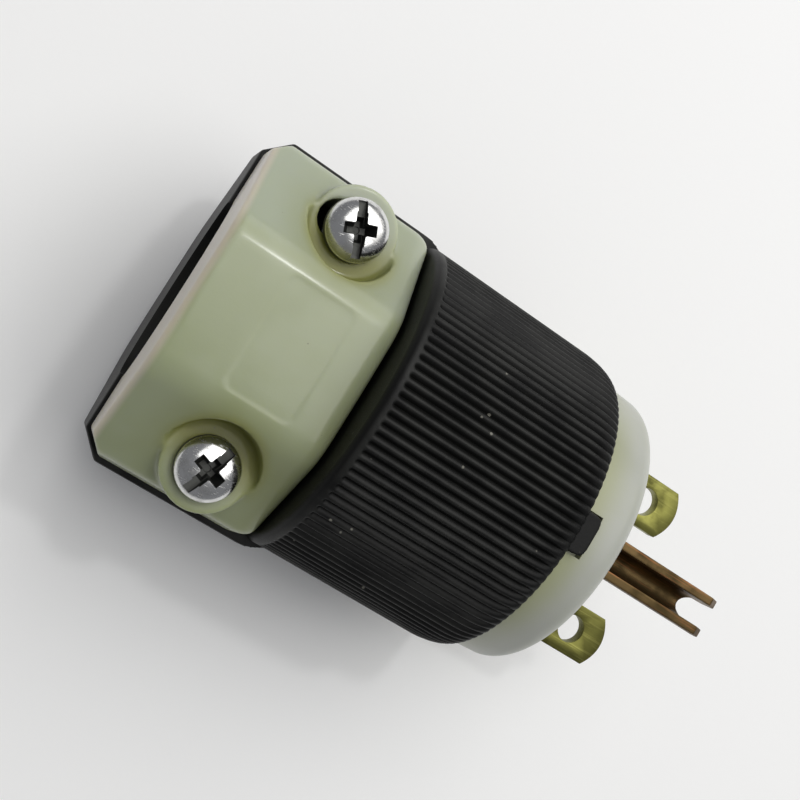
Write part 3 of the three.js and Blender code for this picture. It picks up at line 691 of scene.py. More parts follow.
class Solid:
    """A closed mesh in millimetres that can be joined, cut, turned and softened."""

    def __init__(self, mesh: bpy.types.Mesh) -> None:
        """Wrap a mesh.

        Args:
            mesh: a closed mesh that nothing else uses.
        """
        self.mesh = mesh

    @classmethod
    def skinned(cls, rings: Sequence[Sequence[Vector]], loop: bool = False) -> "Solid":
        """A skin over rings of points.

        Args:
            rings: rings of equally many points; a ring of one point is a pole.
            loop: whether the last ring joins the first instead of being capped.

        Returns:
            The closed solid, with its faces pointing outwards.
        """
        shape = bmesh.new()
        rows = [[shape.verts.new(point) for point in ring] for ring in rings]
        pairs = list(zip(rows, rows[1:])) + ([(rows[-1], rows[0])] if loop else [])
        for low, high in pairs:
            count = max(len(low), len(high))
            for i in range(count):
                j = (i + 1) % count
                corners = [low[i % len(low)], low[j % len(low)], high[j % len(high)], high[i % len(high)]]
                shape.faces.new(list(dict.fromkeys(corners)))
        if not loop:
            for row in (rows[0], rows[-1]):
                if len(row) > 1:
                    shape.faces.new(row)
        bmesh.ops.recalc_face_normals(shape, faces=shape.faces)
        mesh = bpy.data.meshes.new("solid")
        shape.to_mesh(mesh)
        shape.free()
        return cls(mesh)

    @classmethod
    def spun(cls, outline: Sequence[Point2], segments: int, loop: bool = False) -> "Solid":
        """An outline spun about the X axis.

        Args:
            outline: (radius, station) points.
            segments: how many sides it has.
            loop: whether the outline closes on itself instead of on the axis.

        Returns:
            The solid of revolution.
        """
        turns = [2 * math.pi * i / segments for i in range(segments)]
        rings = [
            [Vector((x, r * math.cos(t), r * math.sin(t))) for t in (turns if r > 0 else turns[:1])]
            for r, x in outline
        ]
        return cls.skinned(rings, loop)

    @classmethod
    def bar(
        cls,
        radius: float,
        low: float,
        high: float,
        at: Point2 = (0, 0),
        axis: Axis = Axis.X,
        end_radius: Optional[float] = None,
        segments: int = 64,
    ) -> "Solid":
        """A round bar or cone.

        Args:
            radius: at its low end.
            low: where it starts along its axis.
            high: where it ends.
            at: its place across the axis: (y, z) along X, (x, y) along Z.
            axis: the axis it lies along.
            end_radius: at its high end, if it differs.
            segments: how many sides it has.

        Returns:
            The bar.
        """
        far = radius if end_radius is None else end_radius
        made = cls.spun([(0, low), (radius, low), (far, high), (0, high)], segments)
        if axis is Axis.X:
            return made.moved(0, *at)
        return made.turned(Axis.Y, -90).moved(*at, 0)

    @classmethod
    def pushed(cls, outline: Sequence[Point2], low: float, high: float, axis: Axis = Axis.Z) -> "Solid":
        """An outline pushed along an axis.

        Args:
            outline: (x, y) points for Z, (y, z) for X, (x, z) for Y.
            low: where it starts along the axis.
            high: where it ends.
            axis: the axis it is pushed along.

        Returns:
            The prism.
        """
        place = {
            Axis.Z: lambda u, v, w: Vector((u, v, w)),
            Axis.X: lambda u, v, w: Vector((w, u, v)),
            Axis.Y: lambda u, v, w: Vector((u, w, v)),
        }[axis]
        return cls.skinned([[place(u, v, w) for u, v in outline] for w in (low, high)])

    @classmethod
    def block(cls, low: Sequence[float], high: Sequence[float]) -> "Solid":
        """A box between two corners."""
        corners = [(low[0], low[1]), (high[0], low[1]), (high[0], high[1]), (low[0], high[1])]
        return cls.pushed(corners, low[2], high[2])

    def moved(self, x: float, y: float, z: float) -> "Solid":
        """Shift it in place."""
        self.mesh.transform(Matrix.Translation((x, y, z)))
        return self

    def turned(self, axis: Axis, degrees: float) -> "Solid":
        """Turn it about an axis through the origin."""
        self.mesh.transform(Matrix.Rotation(math.radians(degrees), 4, axis.name))
        return self

    def modified(self, kind: str, settings: dict) -> "Solid":
        """Run one modifier over it.

        Args:
            kind: the modifier's type.
            settings: the modifier's properties.

        Returns:
            The changed solid.
        """
        thing = bpy.data.objects.new("work", self.mesh)
        modifier = thing.modifiers.new("work", kind)
        for key, value in settings.items():
            setattr(modifier, key, value)
        return Solid.settled(thing)

    @staticmethod
    def settled(thing: bpy.types.Object) -> "Solid":
        """The evaluated shape of a working object, which is then removed."""
        bpy.context.scene.collection.objects.link(thing)
        graph = bpy.context.evaluated_depsgraph_get()
        result = bpy.data.meshes.new_from_object(thing.evaluated_get(graph))
        bpy.data.objects.remove(thing)
        return Solid(result)

    def combined(self, how: Join, others: Sequence["Solid"]) -> "Solid":
        """Join with, cut by or keep the overlap with other solids, one after the other.

        Args:
            how: the operation.
            others: the other solids.

        Returns:
            The combined solid.
        """
        result = self
        for other in others:
            tool = bpy.data.objects.new("tool", other.mesh)
            bpy.context.scene.collection.objects.link(tool)
            settings = {"solver": "MANIFOLD", "operation": how.value, "object": tool}
            result = result.modified("BOOLEAN", settings)
            bpy.data.objects.remove(tool)
        if not result.mesh.polygons:
            raise ValueError(f"{how.value} left nothing")
        return result

    def joined(self, *others: "Solid") -> "Solid":
        """With the others added."""
        return self.combined(Join.UNION, others)

    def cut(self, *others: "Solid") -> "Solid":
        """With the others taken away."""
        return self.combined(Join.DIFFERENCE, others)

    def within(self, other: "Solid") -> "Solid":
        """Only what lies inside the other too."""
        return self.combined(Join.INTERSECT, (other,))

    def softened(self, voxel: float, rounds: int) -> "Solid":
        """Round every edge a little, as a moulding's are.

        Args:
            voxel: the size of the new faces.
            rounds: how many times they are smoothed.

        Returns:
            The softened solid.
        """
        remesh = {"mode": "VOXEL", "voxel_size": voxel, "adaptivity": 0.0}
        smooth = {"factor": 0.5, "iterations": rounds}
        return self.modified("REMESH", remesh).modified("SMOOTH", smooth)

    def bevelled(self, width: float, segments: int = 2) -> "Solid":
        """With its sharp edges rounded by a bevel."""
        settings = {
            "width": width,
            "segments": segments,
            "limit_method": "ANGLE",
            "angle_limit": SHARP_ANGLE,
            "use_clamp_overlap": True,
        }
        return self.modified("BEVEL", settings)


# ---------------------------------------------------------------- reliefs by Geometry Nodes


class Relief:
    """A repeating relief that Geometry Nodes press into a round blank lying about the X axis."""

    def sizes(self) -> dict[str, float]:
        """The tree's named inputs and their values."""
        raise NotImplementedError

    def depth(self, x: Signal, angle: Signal, radius: Signal, inputs: dict[str, Signal]) -> Signal:
        """How far each point is pressed in.

        Args:
            x: station along the axis.
            angle: turn about the axis, in radians.
            radius: distance from the axis.
            inputs: the tree's named inputs.

        Returns:
            The depth as a signal.
        """
        raise NotImplementedError

    def tree(self, material: bpy.types.Material) -> bpy.types.NodeTree:
        """Build the tree.

        Args:
            material: what the pressed blank is made of.

        Returns:
            The Geometry Nodes tree.
        """
        tree = bpy.data.node_groups.new(type(self).__name__, "GeometryNodeTree")
        tree.interface.new_socket("Blank", in_out="INPUT", socket_type="NodeSocketGeometry")
        for name, value in self.sizes().items():
            socket = tree.interface.new_socket(name, in_out="INPUT", socket_type="NodeSocketFloat")
            socket.default_value = value
        tree.interface.new_socket("Pressed", in_out="OUTPUT", socket_type="NodeSocketGeometry")
        graph = Graph(tree)
        group = graph.node("NodeGroupInput")
        inputs = {name: Signal(graph, group.outputs[name]) for name in self.sizes()}
        place = Signal(graph, graph.node("GeometryNodeInputPosition").outputs[0])
        x, y, z = graph.split(place)
        radius = (y * y + z * z) ** 0.5
        share = self.depth(x, z.maths("ARCTAN2", y), radius, inputs) / radius.most(0.01)
        shift = graph.node("ShaderNodeCombineXYZ", None, {1: y * share * -1.0, 2: z * share * -1.0})
        blank, offset = Signal(graph, group.outputs["Blank"]), Signal(graph, shift.outputs[0])
        moved = graph.node("GeometryNodeSetPosition", None, {"Geometry": blank, "Offset": offset})
        real = graph.node("GeometryNodeRealizeInstances", None, {0: Signal(graph, moved.outputs[0])})
        whole = Signal(graph, real.outputs[0])
        coated = graph.node("GeometryNodeSetMaterial", None, {"Geometry": whole, "Material": material})
        graph.node("NodeGroupOutput", None, {0: Signal(graph, coated.outputs[0])})
        return tree

    def pressed(self, blank: Solid, material: bpy.types.Material) -> Solid:
        """Press the relief into a blank.

        Args:
            blank: the round blank about the X axis.
            material: what it is made of.

        Returns:
            The pressed solid.
        """
        thing = bpy.data.objects.new("blank", blank.mesh)
        modifier = thing.modifiers.new("relief", "NODES")
        modifier.node_group = self.tree(material)
        sizes = self.sizes()
        for item in modifier.node_group.interface.items_tree:
            if item.in_out == "INPUT" and item.name in sizes:
                modifier[item.identifier] = float(sizes[item.name])
        return Solid.settled(thing)


@dataclass(frozen=True)
class Ribs(Relief):
    """Fine lengthwise ribs round a barrel: round crests with narrow channels between them."""

    count: int
    channel: float
    start: float
    end: float
    crest: float
    run_in: float = 0.5
    run_out: float = 2.2
    edge_share: float = 0.35

    def sizes(self) -> dict[str, float]:
        """The named inputs."""
        return {
            "Rib Count": self.count,
            "Channel Depth": self.channel,
            "First Station": self.start,
            "Last Station": self.end,
            "Crest Radius": self.crest,
            "Run In": self.run_in,
            "Run Out": self.run_out,
            "Edge Share": self.edge_share,
        }

    def depth(self, x: Signal, angle: Signal, radius: Signal, inputs: dict[str, Signal]) -> Signal:
        """Depth of the channels at each point."""
        wave = 1 - abs((angle * inputs["Rib Count"] / 2).maths("COSINE"))
        run_in = ((x - inputs["First Station"]) / inputs["Run In"]).rise(0, 1)
        run_out = ((inputs["Last Station"] - x) / inputs["Run Out"]).rise(0, 1)
        outer = (radius / inputs["Crest Radius"]).rise(0.9, 0.93)
        kept = inputs["Edge Share"] + (1 - inputs["Edge Share"]) * run_out
        return wave * inputs["Channel Depth"] * run_in * kept * outer


@dataclass(frozen=True)
class Thread(Relief):
    """A right-hand screw thread along a shank."""

    pitch: float
    groove: float
    start: float
    end: float
    shank: float

    def sizes(self) -> dict[str, float]:
        """The named inputs."""
        return {
            "Pitch": self.pitch,
            "Groove Depth": self.groove,
            "Thread Start": self.start,
            "Thread End": self.end,
            "Shank Radius": self.shank,
        }

    def depth(self, x: Signal, angle: Signal, radius: Signal, inputs: dict[str, Signal]) -> Signal:
        """Depth of the groove at each point."""
        phase = x / inputs["Pitch"] * (2 * math.pi) - angle
        wave = 0.5 - 0.5 * phase.maths("COSINE")
        start = ((x - inputs["Thread Start"]) / inputs["Pitch"]).rise(0, 1)
        end = ((inputs["Thread End"] - x) / inputs["Pitch"]).rise(0, 1)
        outside = (radius / inputs["Shank Radius"]).rise(0.6, 0.8)
        return wave * inputs["Groove Depth"] * start * end * outside


# ---------------------------------------------------------------- pieces


class Maker:
    """What every sub-assembly shares: the finishes, and how a solid becomes a piece."""

    def __init__(self, finishes: Finishes) -> None:
        """Keep the finishes.

        Args:
            finishes: the plug's materials.
        """
        self.finishes = finishes

    def piece(self, name: str, solid: Solid, body: str, slot: str, *nodes: str) -> bpy.types.Object:
        """Make a finished piece of a solid.

        Args:
            name: the piece's name.
            solid: its shape in millimetres.
            body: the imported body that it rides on.
            slot: the finish.
            nodes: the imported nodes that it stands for.

        Returns:
            The piece's object.
        """
        mesh = solid.mesh
        shape = bmesh.new()
        shape.from_mesh(mesh)
        bmesh.ops.remove_doubles(shape, verts=shape.verts, dist=1e-4)
        for edge in shape.edges:
            edge.smooth = len(edge.link_faces) == 2 and edge.calc_face_angle(0) < SHARP_ANGLE
        for face in shape.faces:
            face.smooth = True
            face.material_index = 0
        shape.to_mesh(mesh)
        shape.free()
        mesh.transform(Matrix.Scale(MM, 4))
        mesh.materials.clear()
        mesh.materials.append(self.finishes[slot])
        mesh.name = name
        thing = bpy.data.objects.new(name, mesh)
        bpy.context.scene.collection.objects.link(thing)
        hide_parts(*nodes)
        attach(thing, body)
        mesh.calc_loop_triangles()
        LOG.info("%s: %d triangles on %s", name, len(mesh.loop_triangles), body)
        return thing


@dataclass(frozen=True)
class ClampShape:
    """The cross-section and passage that both halves of the cord clamp share."""

    half_width: float
    rear_x: float
    barrel_rear_x: float
    screw_x: float
    screw_y: float
    side_height: float = 4.6
    side_draft: float = 0.55
    crest_half_width: float = 8.3
    crest_height: float = 13.3
    crest_crown: float = 0.35
    crest_round: float = 1.9
    corner_cut: float = 2.7
    cord_radius: float = 9.2
    cord_flatness: float = 0.34
    grip_height: float = 1.0
    grip_width: float = 1.6
    grip_spacing: float = 5.6
    funnel: float = 1.6
    rear_wall: float = 2.4

    def section(self, half_width: float, base: float) -> list[Point2]:
        """The outline in Y and Z of a half that stands on the parting plane.

        Args:
            half_width: at the parting plane.
            base: height of the flat underside.

        Returns:
            The outline's points.
        """
        shoulder = half_width - self.side_draft
        low, high = self.side_height - self.side_draft, self.side_height + self.side_draft
        corner = curve((shoulder, low), (shoulder, self.side_height), (shoulder - self.side_draft, high))
        edge = (self.crest_half_width, self.crest_height)
        flank = Vector(corner[-1]) - Vector(edge)
        inner = self.crest_half_width - self.crest_round
        outer = Vector(edge) + flank * (self.crest_round / flank.length)
        corner += curve(tuple(outer), edge, (inner, self.crown(inner)), 8)
        crest = [(y, self.crown(y)) for y in (inner * (1 - i / 6) for i in range(1, 12))]
        flip = [(-y, z) for y, z in reversed(corner)]
        return [(half_width, base), *corner, *crest, *flip, (-half_width, base)]

    def crown(self, y: float) -> float:
        """Height of the crowned top at a distance from its middle line."""
        return self.crest_height + self.crest_crown * (1 - (y / self.crest_half_width) ** 2)

    def wedges(self, half_width: float) -> list[Solid]:
        """The two tools that take the rear corners off a half."""
        tools = []
        for _, side in SIDES:
            outline = [
                (self.rear_x - CUT_OVER, side * (half_width - self.corner_cut - CUT_OVER)),
                (self.rear_x + self.corner_cut + CUT_OVER, side * (half_width + CUT_OVER)),
                (self.rear_x - CUT_OVER, side * (half_width + CUT_OVER)),
            ]
            tools.append(Solid.pushed(outline, -2 * self.crest_height, 2 * self.crest_height))
        return tools

    def passage(self) -> Solid:
        """The cord's passage: flat between the clamp halves, with grip ridges, and round in the rear wall."""
        tight = self.cord_radius - self.grip_height
        mouth_x = self.rear_x - REST_GAP
        outline = [(0, mouth_x), (self.cord_radius + self.funnel, mouth_x)]
        outline += quarter(
            (self.cord_radius + self.funnel, mouth_x + REST_GAP),
            (self.cord_radius, self.rear_x + self.funnel + 1.2),
            6,
        )
        for step in (-1, 0, 1):
            x = self.screw_x + step * self.grip_spacing
            half = self.grip_width / 2
            outline += [(self.cord_radius, x - half - 0.25), (tight, x - half + 0.25)]
            outline += [(tight, x + half - 0.25), (self.cord_radius, x + half + 0.25)]
        end_x = self.barrel_rear_x - REST_GAP / 2
        outline += [(self.cord_radius, end_x), (0, end_x)]
        flat = Solid.spun(outline, 120)
        flat.mesh.transform(Matrix.Scale(self.cord_flatness, 4, (0, 0, 1)))
        through_x = self.barrel_rear_x + self.rear_wall + REST_GAP
        hole = Solid.bar(self.cord_radius, end_x - REST_GAP / 2, through_x)
        return flat.joined(hole)


def rounded_ends(
    section: Sequence[Point2], low: float, high: float, rear: Point2, front: Point2, height: float
) -> Solid:
    """A section pushed along X with both its ends rounded over.

    Args:
        section: (y, z) outline that stands on z = 0.
        low: the rear station.
        high: the front station.
        rear: (length, inset) of the rear rounding.
        front: (length, inset) of the front rounding.
        height: of the section, which the insets are measured on.

    Returns:
        The solid.
    """
    half_width = max(y for y, _ in section)
    steps = 7
    stations: list[Point2] = []
    for i in range(steps + 1):
        turn = i / steps * math.pi / 2
        stations.append((low + rear[0] * (1 - math.cos(turn)), rear[1] * (1 - math.sin(turn))))
    for i in range(steps + 1):
        turn = i / steps * math.pi / 2
        stations.append((high - front[0] * (1 - math.sin(turn)), front[1] * (1 - math.cos(turn))))
    rings = []
    for x, inset in stations:
        wide, tall = 1 - inset / half_width, 1 - inset / height
        rings.append([Vector((x, y * wide, z * tall if z > 1 else z)) for y, z in section])
    return Solid.skinned(rings)


@dataclass
class Housing:
    """The black moulding: ribbed barrel, lower clamp half, screw columns and key lug."""

    maker: Maker
    shape: ClampShape
    rib_count: int = 108
    rib_samples: int = 10
    channel: float = 0.46
    collar: float = 1.05
    edge_radius: float = 1.0
    shoulder: float = 4.0
    key_length: float = 1.8
    key_width: float = 4.6
    key_thickness: float = 1.7
    seat_wall: float = 1.35
    mouth_edge: float = 0.25
    seat_depth: float = 3.0
    chamber_wall: float = 2.75
    flare_length: float = 6.0
    boss_radius: float = 5.5
    boss_depth: float = 11.0
    nut_depth: float = 7.4
    column_radius: float = 2.7
    web_width: float = 3.2
    insert_radius: float = 1.95
    low: Vector = field(default_factory=lambda: span("housing_shell")[0])
    high: Vector = field(default_factory=lambda: span("housing_shell")[1])

    def __post_init__(self) -> None:
        """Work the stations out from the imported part."""
        self.radius = -self.low.z
        self.front_x = self.high.x - self.key_length
        self.rear_x = self.shape.barrel_rear_x
        self.seat_radius = self.radius - self.seat_wall
        self.seat_rear_x = self.front_x - self.seat_depth - REST_GAP
        self.chamber_radius = self.radius - self.chamber_wall
        self.chamber_rear_x = self.rear_x + self.shape.rear_wall
        self.column_front_x = span("assembly_insert_left")[1].x

    def barrel(self) -> Solid:
        """The ribbed outer blank of the barrel."""
        mouth = self.seat_radius + self.mouth_edge
        inner = self.radius - self.edge_radius
        edge = quarter((self.radius, self.rear_x + self.edge_radius), (inner, self.rear_x))
        start = self.rear_x + self.collar
        run = [start + 0.5 * i / 5 for i in range(6)]
        straight = [start + 4.0 * i for i in range(1, 5)]
        outline = [(0, self.rear_x), *reversed(edge)]
        outline += [(self.radius, x) for x in (*run, *straight)]
        outline += quarter((self.radius, self.front_x - self.shoulder), (mouth, self.front_x), 16)
        outline += [(0, self.front_x)]
        blank = Solid.spun(outline, self.rib_count * self.rib_samples)
        ribs = Ribs(self.rib_count, self.channel, start, self.front_x, self.radius)
        return ribs.pressed(blank, self.maker.finishes["black_nylon"])

    def lower_half(self) -> Solid:
        """The clamp's lower half, running out along the barrel's flanks."""
        shape = self.shape
        section = shape.section(shape.half_width, 0.0)
        end_x = self.rear_x + self.flare_length
        shrink = 1 - (self.radius - self.edge_radius) / shape.half_width
        flare_x = self.rear_x - REST_GAP
        stations: list[Point2] = []
        for i in range(6):
            turn = i / 5 * math.pi / 2
            stations.append((shape.rear_x + 0.8 * (1 - math.cos(turn)), 0.03 * (1 - math.sin(turn))))
        for i in range(13):
            along = i / 12
            ease = along * along * (3 - 2 * along)
            stations.append((flare_x + (end_x - flare_x) * along, shrink * ease))
        rings = [
            [Vector((x, y * (1 - inset), -z * (1 - inset))) for y, z in section] for x, inset in stations
        ]
        places = [(shape.screw_x, side * shape.screw_y) for _, side in SIDES]
        bosses = [Solid.bar(self.boss_radius, -self.boss_depth, -REST_GAP, at, Axis.Z) for at in places]
        body = Solid.skinned(rings).joined(*bosses).cut(*shape.wedges(shape.half_width))
        return body.softened(0.22, 3)

    def columns(self) -> list[Solid]:
        """The assembly screws' columns and the webs that tie them to the barrel."""
        back_x = self.chamber_rear_x - REST_GAP
        made = []
        for name, _ in SIDES:
            place = centre("assembly_insert_" + name)
            distance = math.hypot(place.y, place.z)
            height = self.chamber_radius + self.chamber_wall / 2 - distance
            half = self.web_width / 2
            web = Solid.block((back_x, -half, 0), (self.column_front_x, half, height))
            lean = math.degrees(math.atan2(place.y, place.z))
            made.append(Solid.bar(self.column_radius, back_x, self.column_front_x, (place.y, place.z)))
            made.append(web.turned(Axis.X, -lean).moved(0, place.y, place.z))
        return made

    def key_lug(self) -> Solid:
        """The lug on the mouth that keys the face."""
        corner = self.key_width / 5
        outline = rounded_rectangle(2 * self.key_length, self.key_width, corner, (self.front_x, 0))
        top = self.seat_radius + self.mouth_edge + PRESS_GAP
        return Solid.pushed(outline, top - self.key_thickness, top).softened(0.12, 3)

    def holes(self) -> list[Solid]:
        """The tools for the screw holes, nut pockets and insert bores."""
        tools = []
        for name, side in SIDES:
            at = (self.shape.screw_x, side * self.shape.screw_y)
            nut_low, nut_high = span("clamp_nut_" + name)
            tools.append(Solid.bar(NUT_HOLE, -self.boss_depth - CUT_OVER, CUT_OVER, at, Axis.Z))
            tools.append(
                Solid.block(
                    (nut_low.x - PRESS_GAP, nut_low.y - PRESS_GAP, -self.boss_depth - 20),
                    (nut_high.x + PRESS_GAP, nut_high.y + PRESS_GAP, PRESS_GAP - self.nut_depth),
                )
            )
            low, high = span("assembly_insert_" + name)
            place = ((low.y + high.y) / 2, (low.z + high.z) / 2)
            bore = self.insert_radius + PRESS_GAP
            tools.append(Solid.bar(bore, low.x - PRESS_GAP, high.x + CUT_OVER, place))
            tools.append(Solid.bar(SMALL_HOLE, self.chamber_rear_x, high.x, place))
        return tools

    def build(self) -> None:
        """Make the housing piece."""
        outer = self.barrel().joined(self.lower_half())
        seat = Solid.bar(self.seat_radius, self.seat_rear_x, self.front_x + CUT_OVER, segments=ROUND_SIDES)
        chamber_front_x = self.seat_rear_x + REST_GAP
        chamber = Solid.bar(self.chamber_radius, self.chamber_rear_x, chamber_front_x, segments=ROUND_SIDES)
        hollow = outer.cut(seat, chamber, self.shape.passage())
        whole = hollow.joined(*self.columns(), self.key_lug()).cut(*self.holes())
        self.maker.piece("ribbed_housing", whole, "housing", "black_nylon", "housing_shell")


@dataclass
class CordClamp:
    """The loose ivory half of the cord clamp."""

    maker: Maker
    shape: ClampShape
    seat_height: float = 8.3
    boss_radius: float = 4.8
    well_radius: float = 5.3
    slot_reach: float = 2.1
    panel: tuple[float, float, float] = (8.0, 13.2, 0.06)
    panel_corner: float = 1.2
    hole_radius: float = 2.12

    def well(self, at: Point2) -> Solid:
        """The clearance round a screw's head, with a filleted floor."""
        fillet = 0.7
        low, high = self.seat_height, self.seat_height + self.shape.crest_height
        foot = quarter((self.well_radius, low + fillet), (self.well_radius - fillet, low))
        outline = [(0, low), *reversed(foot)]
        outline += [(self.well_radius, high), (0, high)]
        return Solid.spun(outline, 96).turned(Axis.Y, -90).moved(*at, 0)

    def panel_tool(self) -> Solid:
        """The tool that sinks the blank panel into the crowned top."""
        length, breadth, depth = self.panel
        x, top = self.shape.screw_x, self.shape.crest_height + CUT_OVER
        floor = [(y, self.shape.crown(y) - depth) for y in (-breadth + breadth * i / 8 for i in range(17))]
        above = Solid.pushed([*floor, (breadth, top), (-breadth, top)], x - length, x + length, Axis.X)
        outline = rounded_rectangle(length, breadth, self.panel_corner, (x, 0))
        return above.within(Solid.pushed(outline, self.shape.crest_height - CUT_OVER, top - CUT_OVER / 4))

    def build(self) -> None:
        """Make the clamp piece."""
        low, high = span("cord_clamp")
        shape = self.shape
        half_width = high.y
        section = shape.section(half_width, low.z)
        body = rounded_ends(section, low.x, high.x, (1.1, 0.8), (2.2, 1.2), high.z)
        places = [(shape.screw_x, side * shape.screw_y) for _, side in SIDES]
        bosses = [Solid.bar(self.boss_radius, low.z, self.seat_height, at, Axis.Z) for at in places]
        wells = [self.well(at) for at in places]
        holes = [Solid.bar(self.hole_radius, -CUT_OVER, high.z, at, Axis.Z) for at in places]
        width = 2 * self.hole_radius
        middle = (shape.screw_x - self.slot_reach / 2, shape.screw_y)
        slot = rounded_rectangle(width + self.slot_reach, width, self.hole_radius - 0.01, middle)
        tools = [
            *wells,
            *holes,
            Solid.pushed(slot, -CUT_OVER, high.z),
            self.panel_tool(),
            shape.passage(),
            *shape.wedges(half_width),
        ]
        whole = body.joined(*bosses).cut(*tools).softened(0.2, 4)
        self.maker.piece("clamp_half_upper", whole, "cord_clamp", "ivory_nylon", "cord_clamp")


@dataclass
class Fastener:
    """A pan-head machine screw, built about the X axis with its head towards +X."""

    maker: Maker
    head_radius: float
    head_height: float
    radius: float
    length: float
    pitch: float
    drive: Drive
    slot_width: float
    turn: float = 0.0

    def blank(self) -> Solid:
        """The unthreaded blank, its head's underside at x = 0."""
        rim = self.head_height * 0.32
        point = self.radius * 0.45
        steps = max(8, round(self.length / self.pitch * 7))
        shank = [-self.length + point + (self.length - point) * i / steps for i in range(steps + 1)]
        outline = [(0, -self.length), (self.radius - point, -self.length)]
        outline += [(self.radius, x) for x in shank]
        outline += [(self.head_radius - 0.12, 0), (self.head_radius, 0.12)]
        outline += quarter((self.head_radius, rim), (self.head_radius * 0.22, self.head_height), 12)
        outline += [(0, self.head_height)]
        return Solid.spun(outline, 40)

    def recess(self) -> list[Solid]:
        """The tools that make the drive's recess."""
        top = self.head_height + CUT_OVER
        half = self.slot_width / 2
        floor = self.head_height * 0.52
        reach = self.head_radius * (0.86 if self.drive is Drive.COMBINATION else 1.1)
        tools = [Solid.block((floor, -reach, -half), (top, reach, half))]
        if self.drive is Drive.COMBINATION:
            deep, arm, wing = self.head_height * 0.12, self.head_radius * 0.5, self.head_radius * 0.17
            for length, width in ((arm, wing), (wing, arm)):
                corners = ((-length, -width), (length, -width), (length, width), (-length, width))
                ends = ((deep, 0.55), (top, 1.28))
                rings = [[Vector((x, y * share, z * share)) for y, z in corners] for x, share in ends]
                tools.append(Solid.skinned(rings))
            core = self.head_radius * 0.27
            tools.append(Solid.bar(core * 0.4, deep - 0.2, top, end_radius=core * 1.3, segments=24))
        return tools

    def solid(self) -> Solid:
        """The threaded screw with its recess."""
        thread = Thread(self.pitch, self.pitch * 0.34, -self.length, -0.3, self.radius)
        pressed = thread.pressed(self.blank(), self.maker.finishes["bright_steel"])
        whole = pressed.cut(*[tool.turned(Axis.X, self.turn) for tool in self.recess()])
        # mark the recess faces, which the plating darkens with painted shade
        mark = whole.mesh.attributes.new("recess", "FLOAT", "FACE")
        mark.data.foreach_set("value", [float(self.in_recess(face.center)) for face in whole.mesh.polygons])
        return whole

    def in_recess(self, place: Vector) -> bool:
        """Whether a place lies below the head's domed surface."""
        flat, rim = self.head_radius * 0.22, self.head_height * 0.32
        lean = max(0.0, (math.hypot(place.y, place.z) - flat) / (self.head_radius - flat))
        dome = rim + (self.head_height - rim) * math.sqrt(max(0.0, 1 - lean * lean))
        return 0.05 < place.x < dome - 0.06


class Screws:
    """Every screw of the plug, each on its own body where it turns."""

    def __init__(self, maker: Maker) -> None:
        """Keep the maker.

        Args:
            maker: makes the pieces.
        """
        self.maker = maker

    def build(self) -> None:
        """Make the clamp, assembly, terminal and retainer screws."""
        for name, turn in (("left", 24.0), ("right", -20.0)):
            screw = Fastener(self.maker, 3.45, 2.5, 1.72, 19.05, 0.794, Drive.COMBINATION, 1.0, turn)
            node = "clamp_screw_" + name
            self.place(node, screw, node, "bright_steel", Vector((0, 0, 1)))
            screw = Fastener(self.maker, 2.4, 1.7, 1.42, 19.05, 0.635, Drive.COMBINATION, 0.8, turn)
            node = "assembly_screw_" + name
            self.place(node, screw, node, "bright_steel", Vector((1, 0, 0)))
            screw = Fastener(self.maker, 1.8, 1.2, 1.1, 6.0, 0.5, Drive.SLOT, 0.6, turn)
            self.place("retainer_screw_" + name, screw, "interior", "plain_steel", Vector((-1, 0, 0)))
        terminals = (
            ("left", "yellow_brass", 10),
            ("right", "yellow_brass", 64),
            ("ground", "green_steel", -30),
        )
        for name, slot, turn in terminals:
            screw = Fastener(self.maker, 3.0, 1.9, 1.42, 5.0, 0.635, Drive.SLOT, 0.95, turn)
            up = Vector((0, 0, 1 if name == "ground" else -1))
            self.place("terminal_screw_" + name, screw, "terminal_screw_" + name, slot, up)

    def place(self, node: str, screw: Fastener, body: str, slot: str, up: Vector) -> None:
        """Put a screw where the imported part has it.

        Args:
            node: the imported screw.
            screw: its shape.
            body: the body that it rides on.
            slot: its finish.
            up: the direction of its head.
        """
        low, high = span(node)
        middle = (low + high) / 2
        tip = Vector([min(low[i] * up[i], high[i] * up[i]) * up[i] if up[i] else middle[i] for i in range(3)])
        solid = screw.solid().moved(screw.length, 0, 0)
        solid.mesh.transform(Vector((1, 0, 0)).rotation_difference(up).to_matrix().to_4x4())
        self.maker.piece(node + "_turned", solid.moved(*tip), body, slot, node)


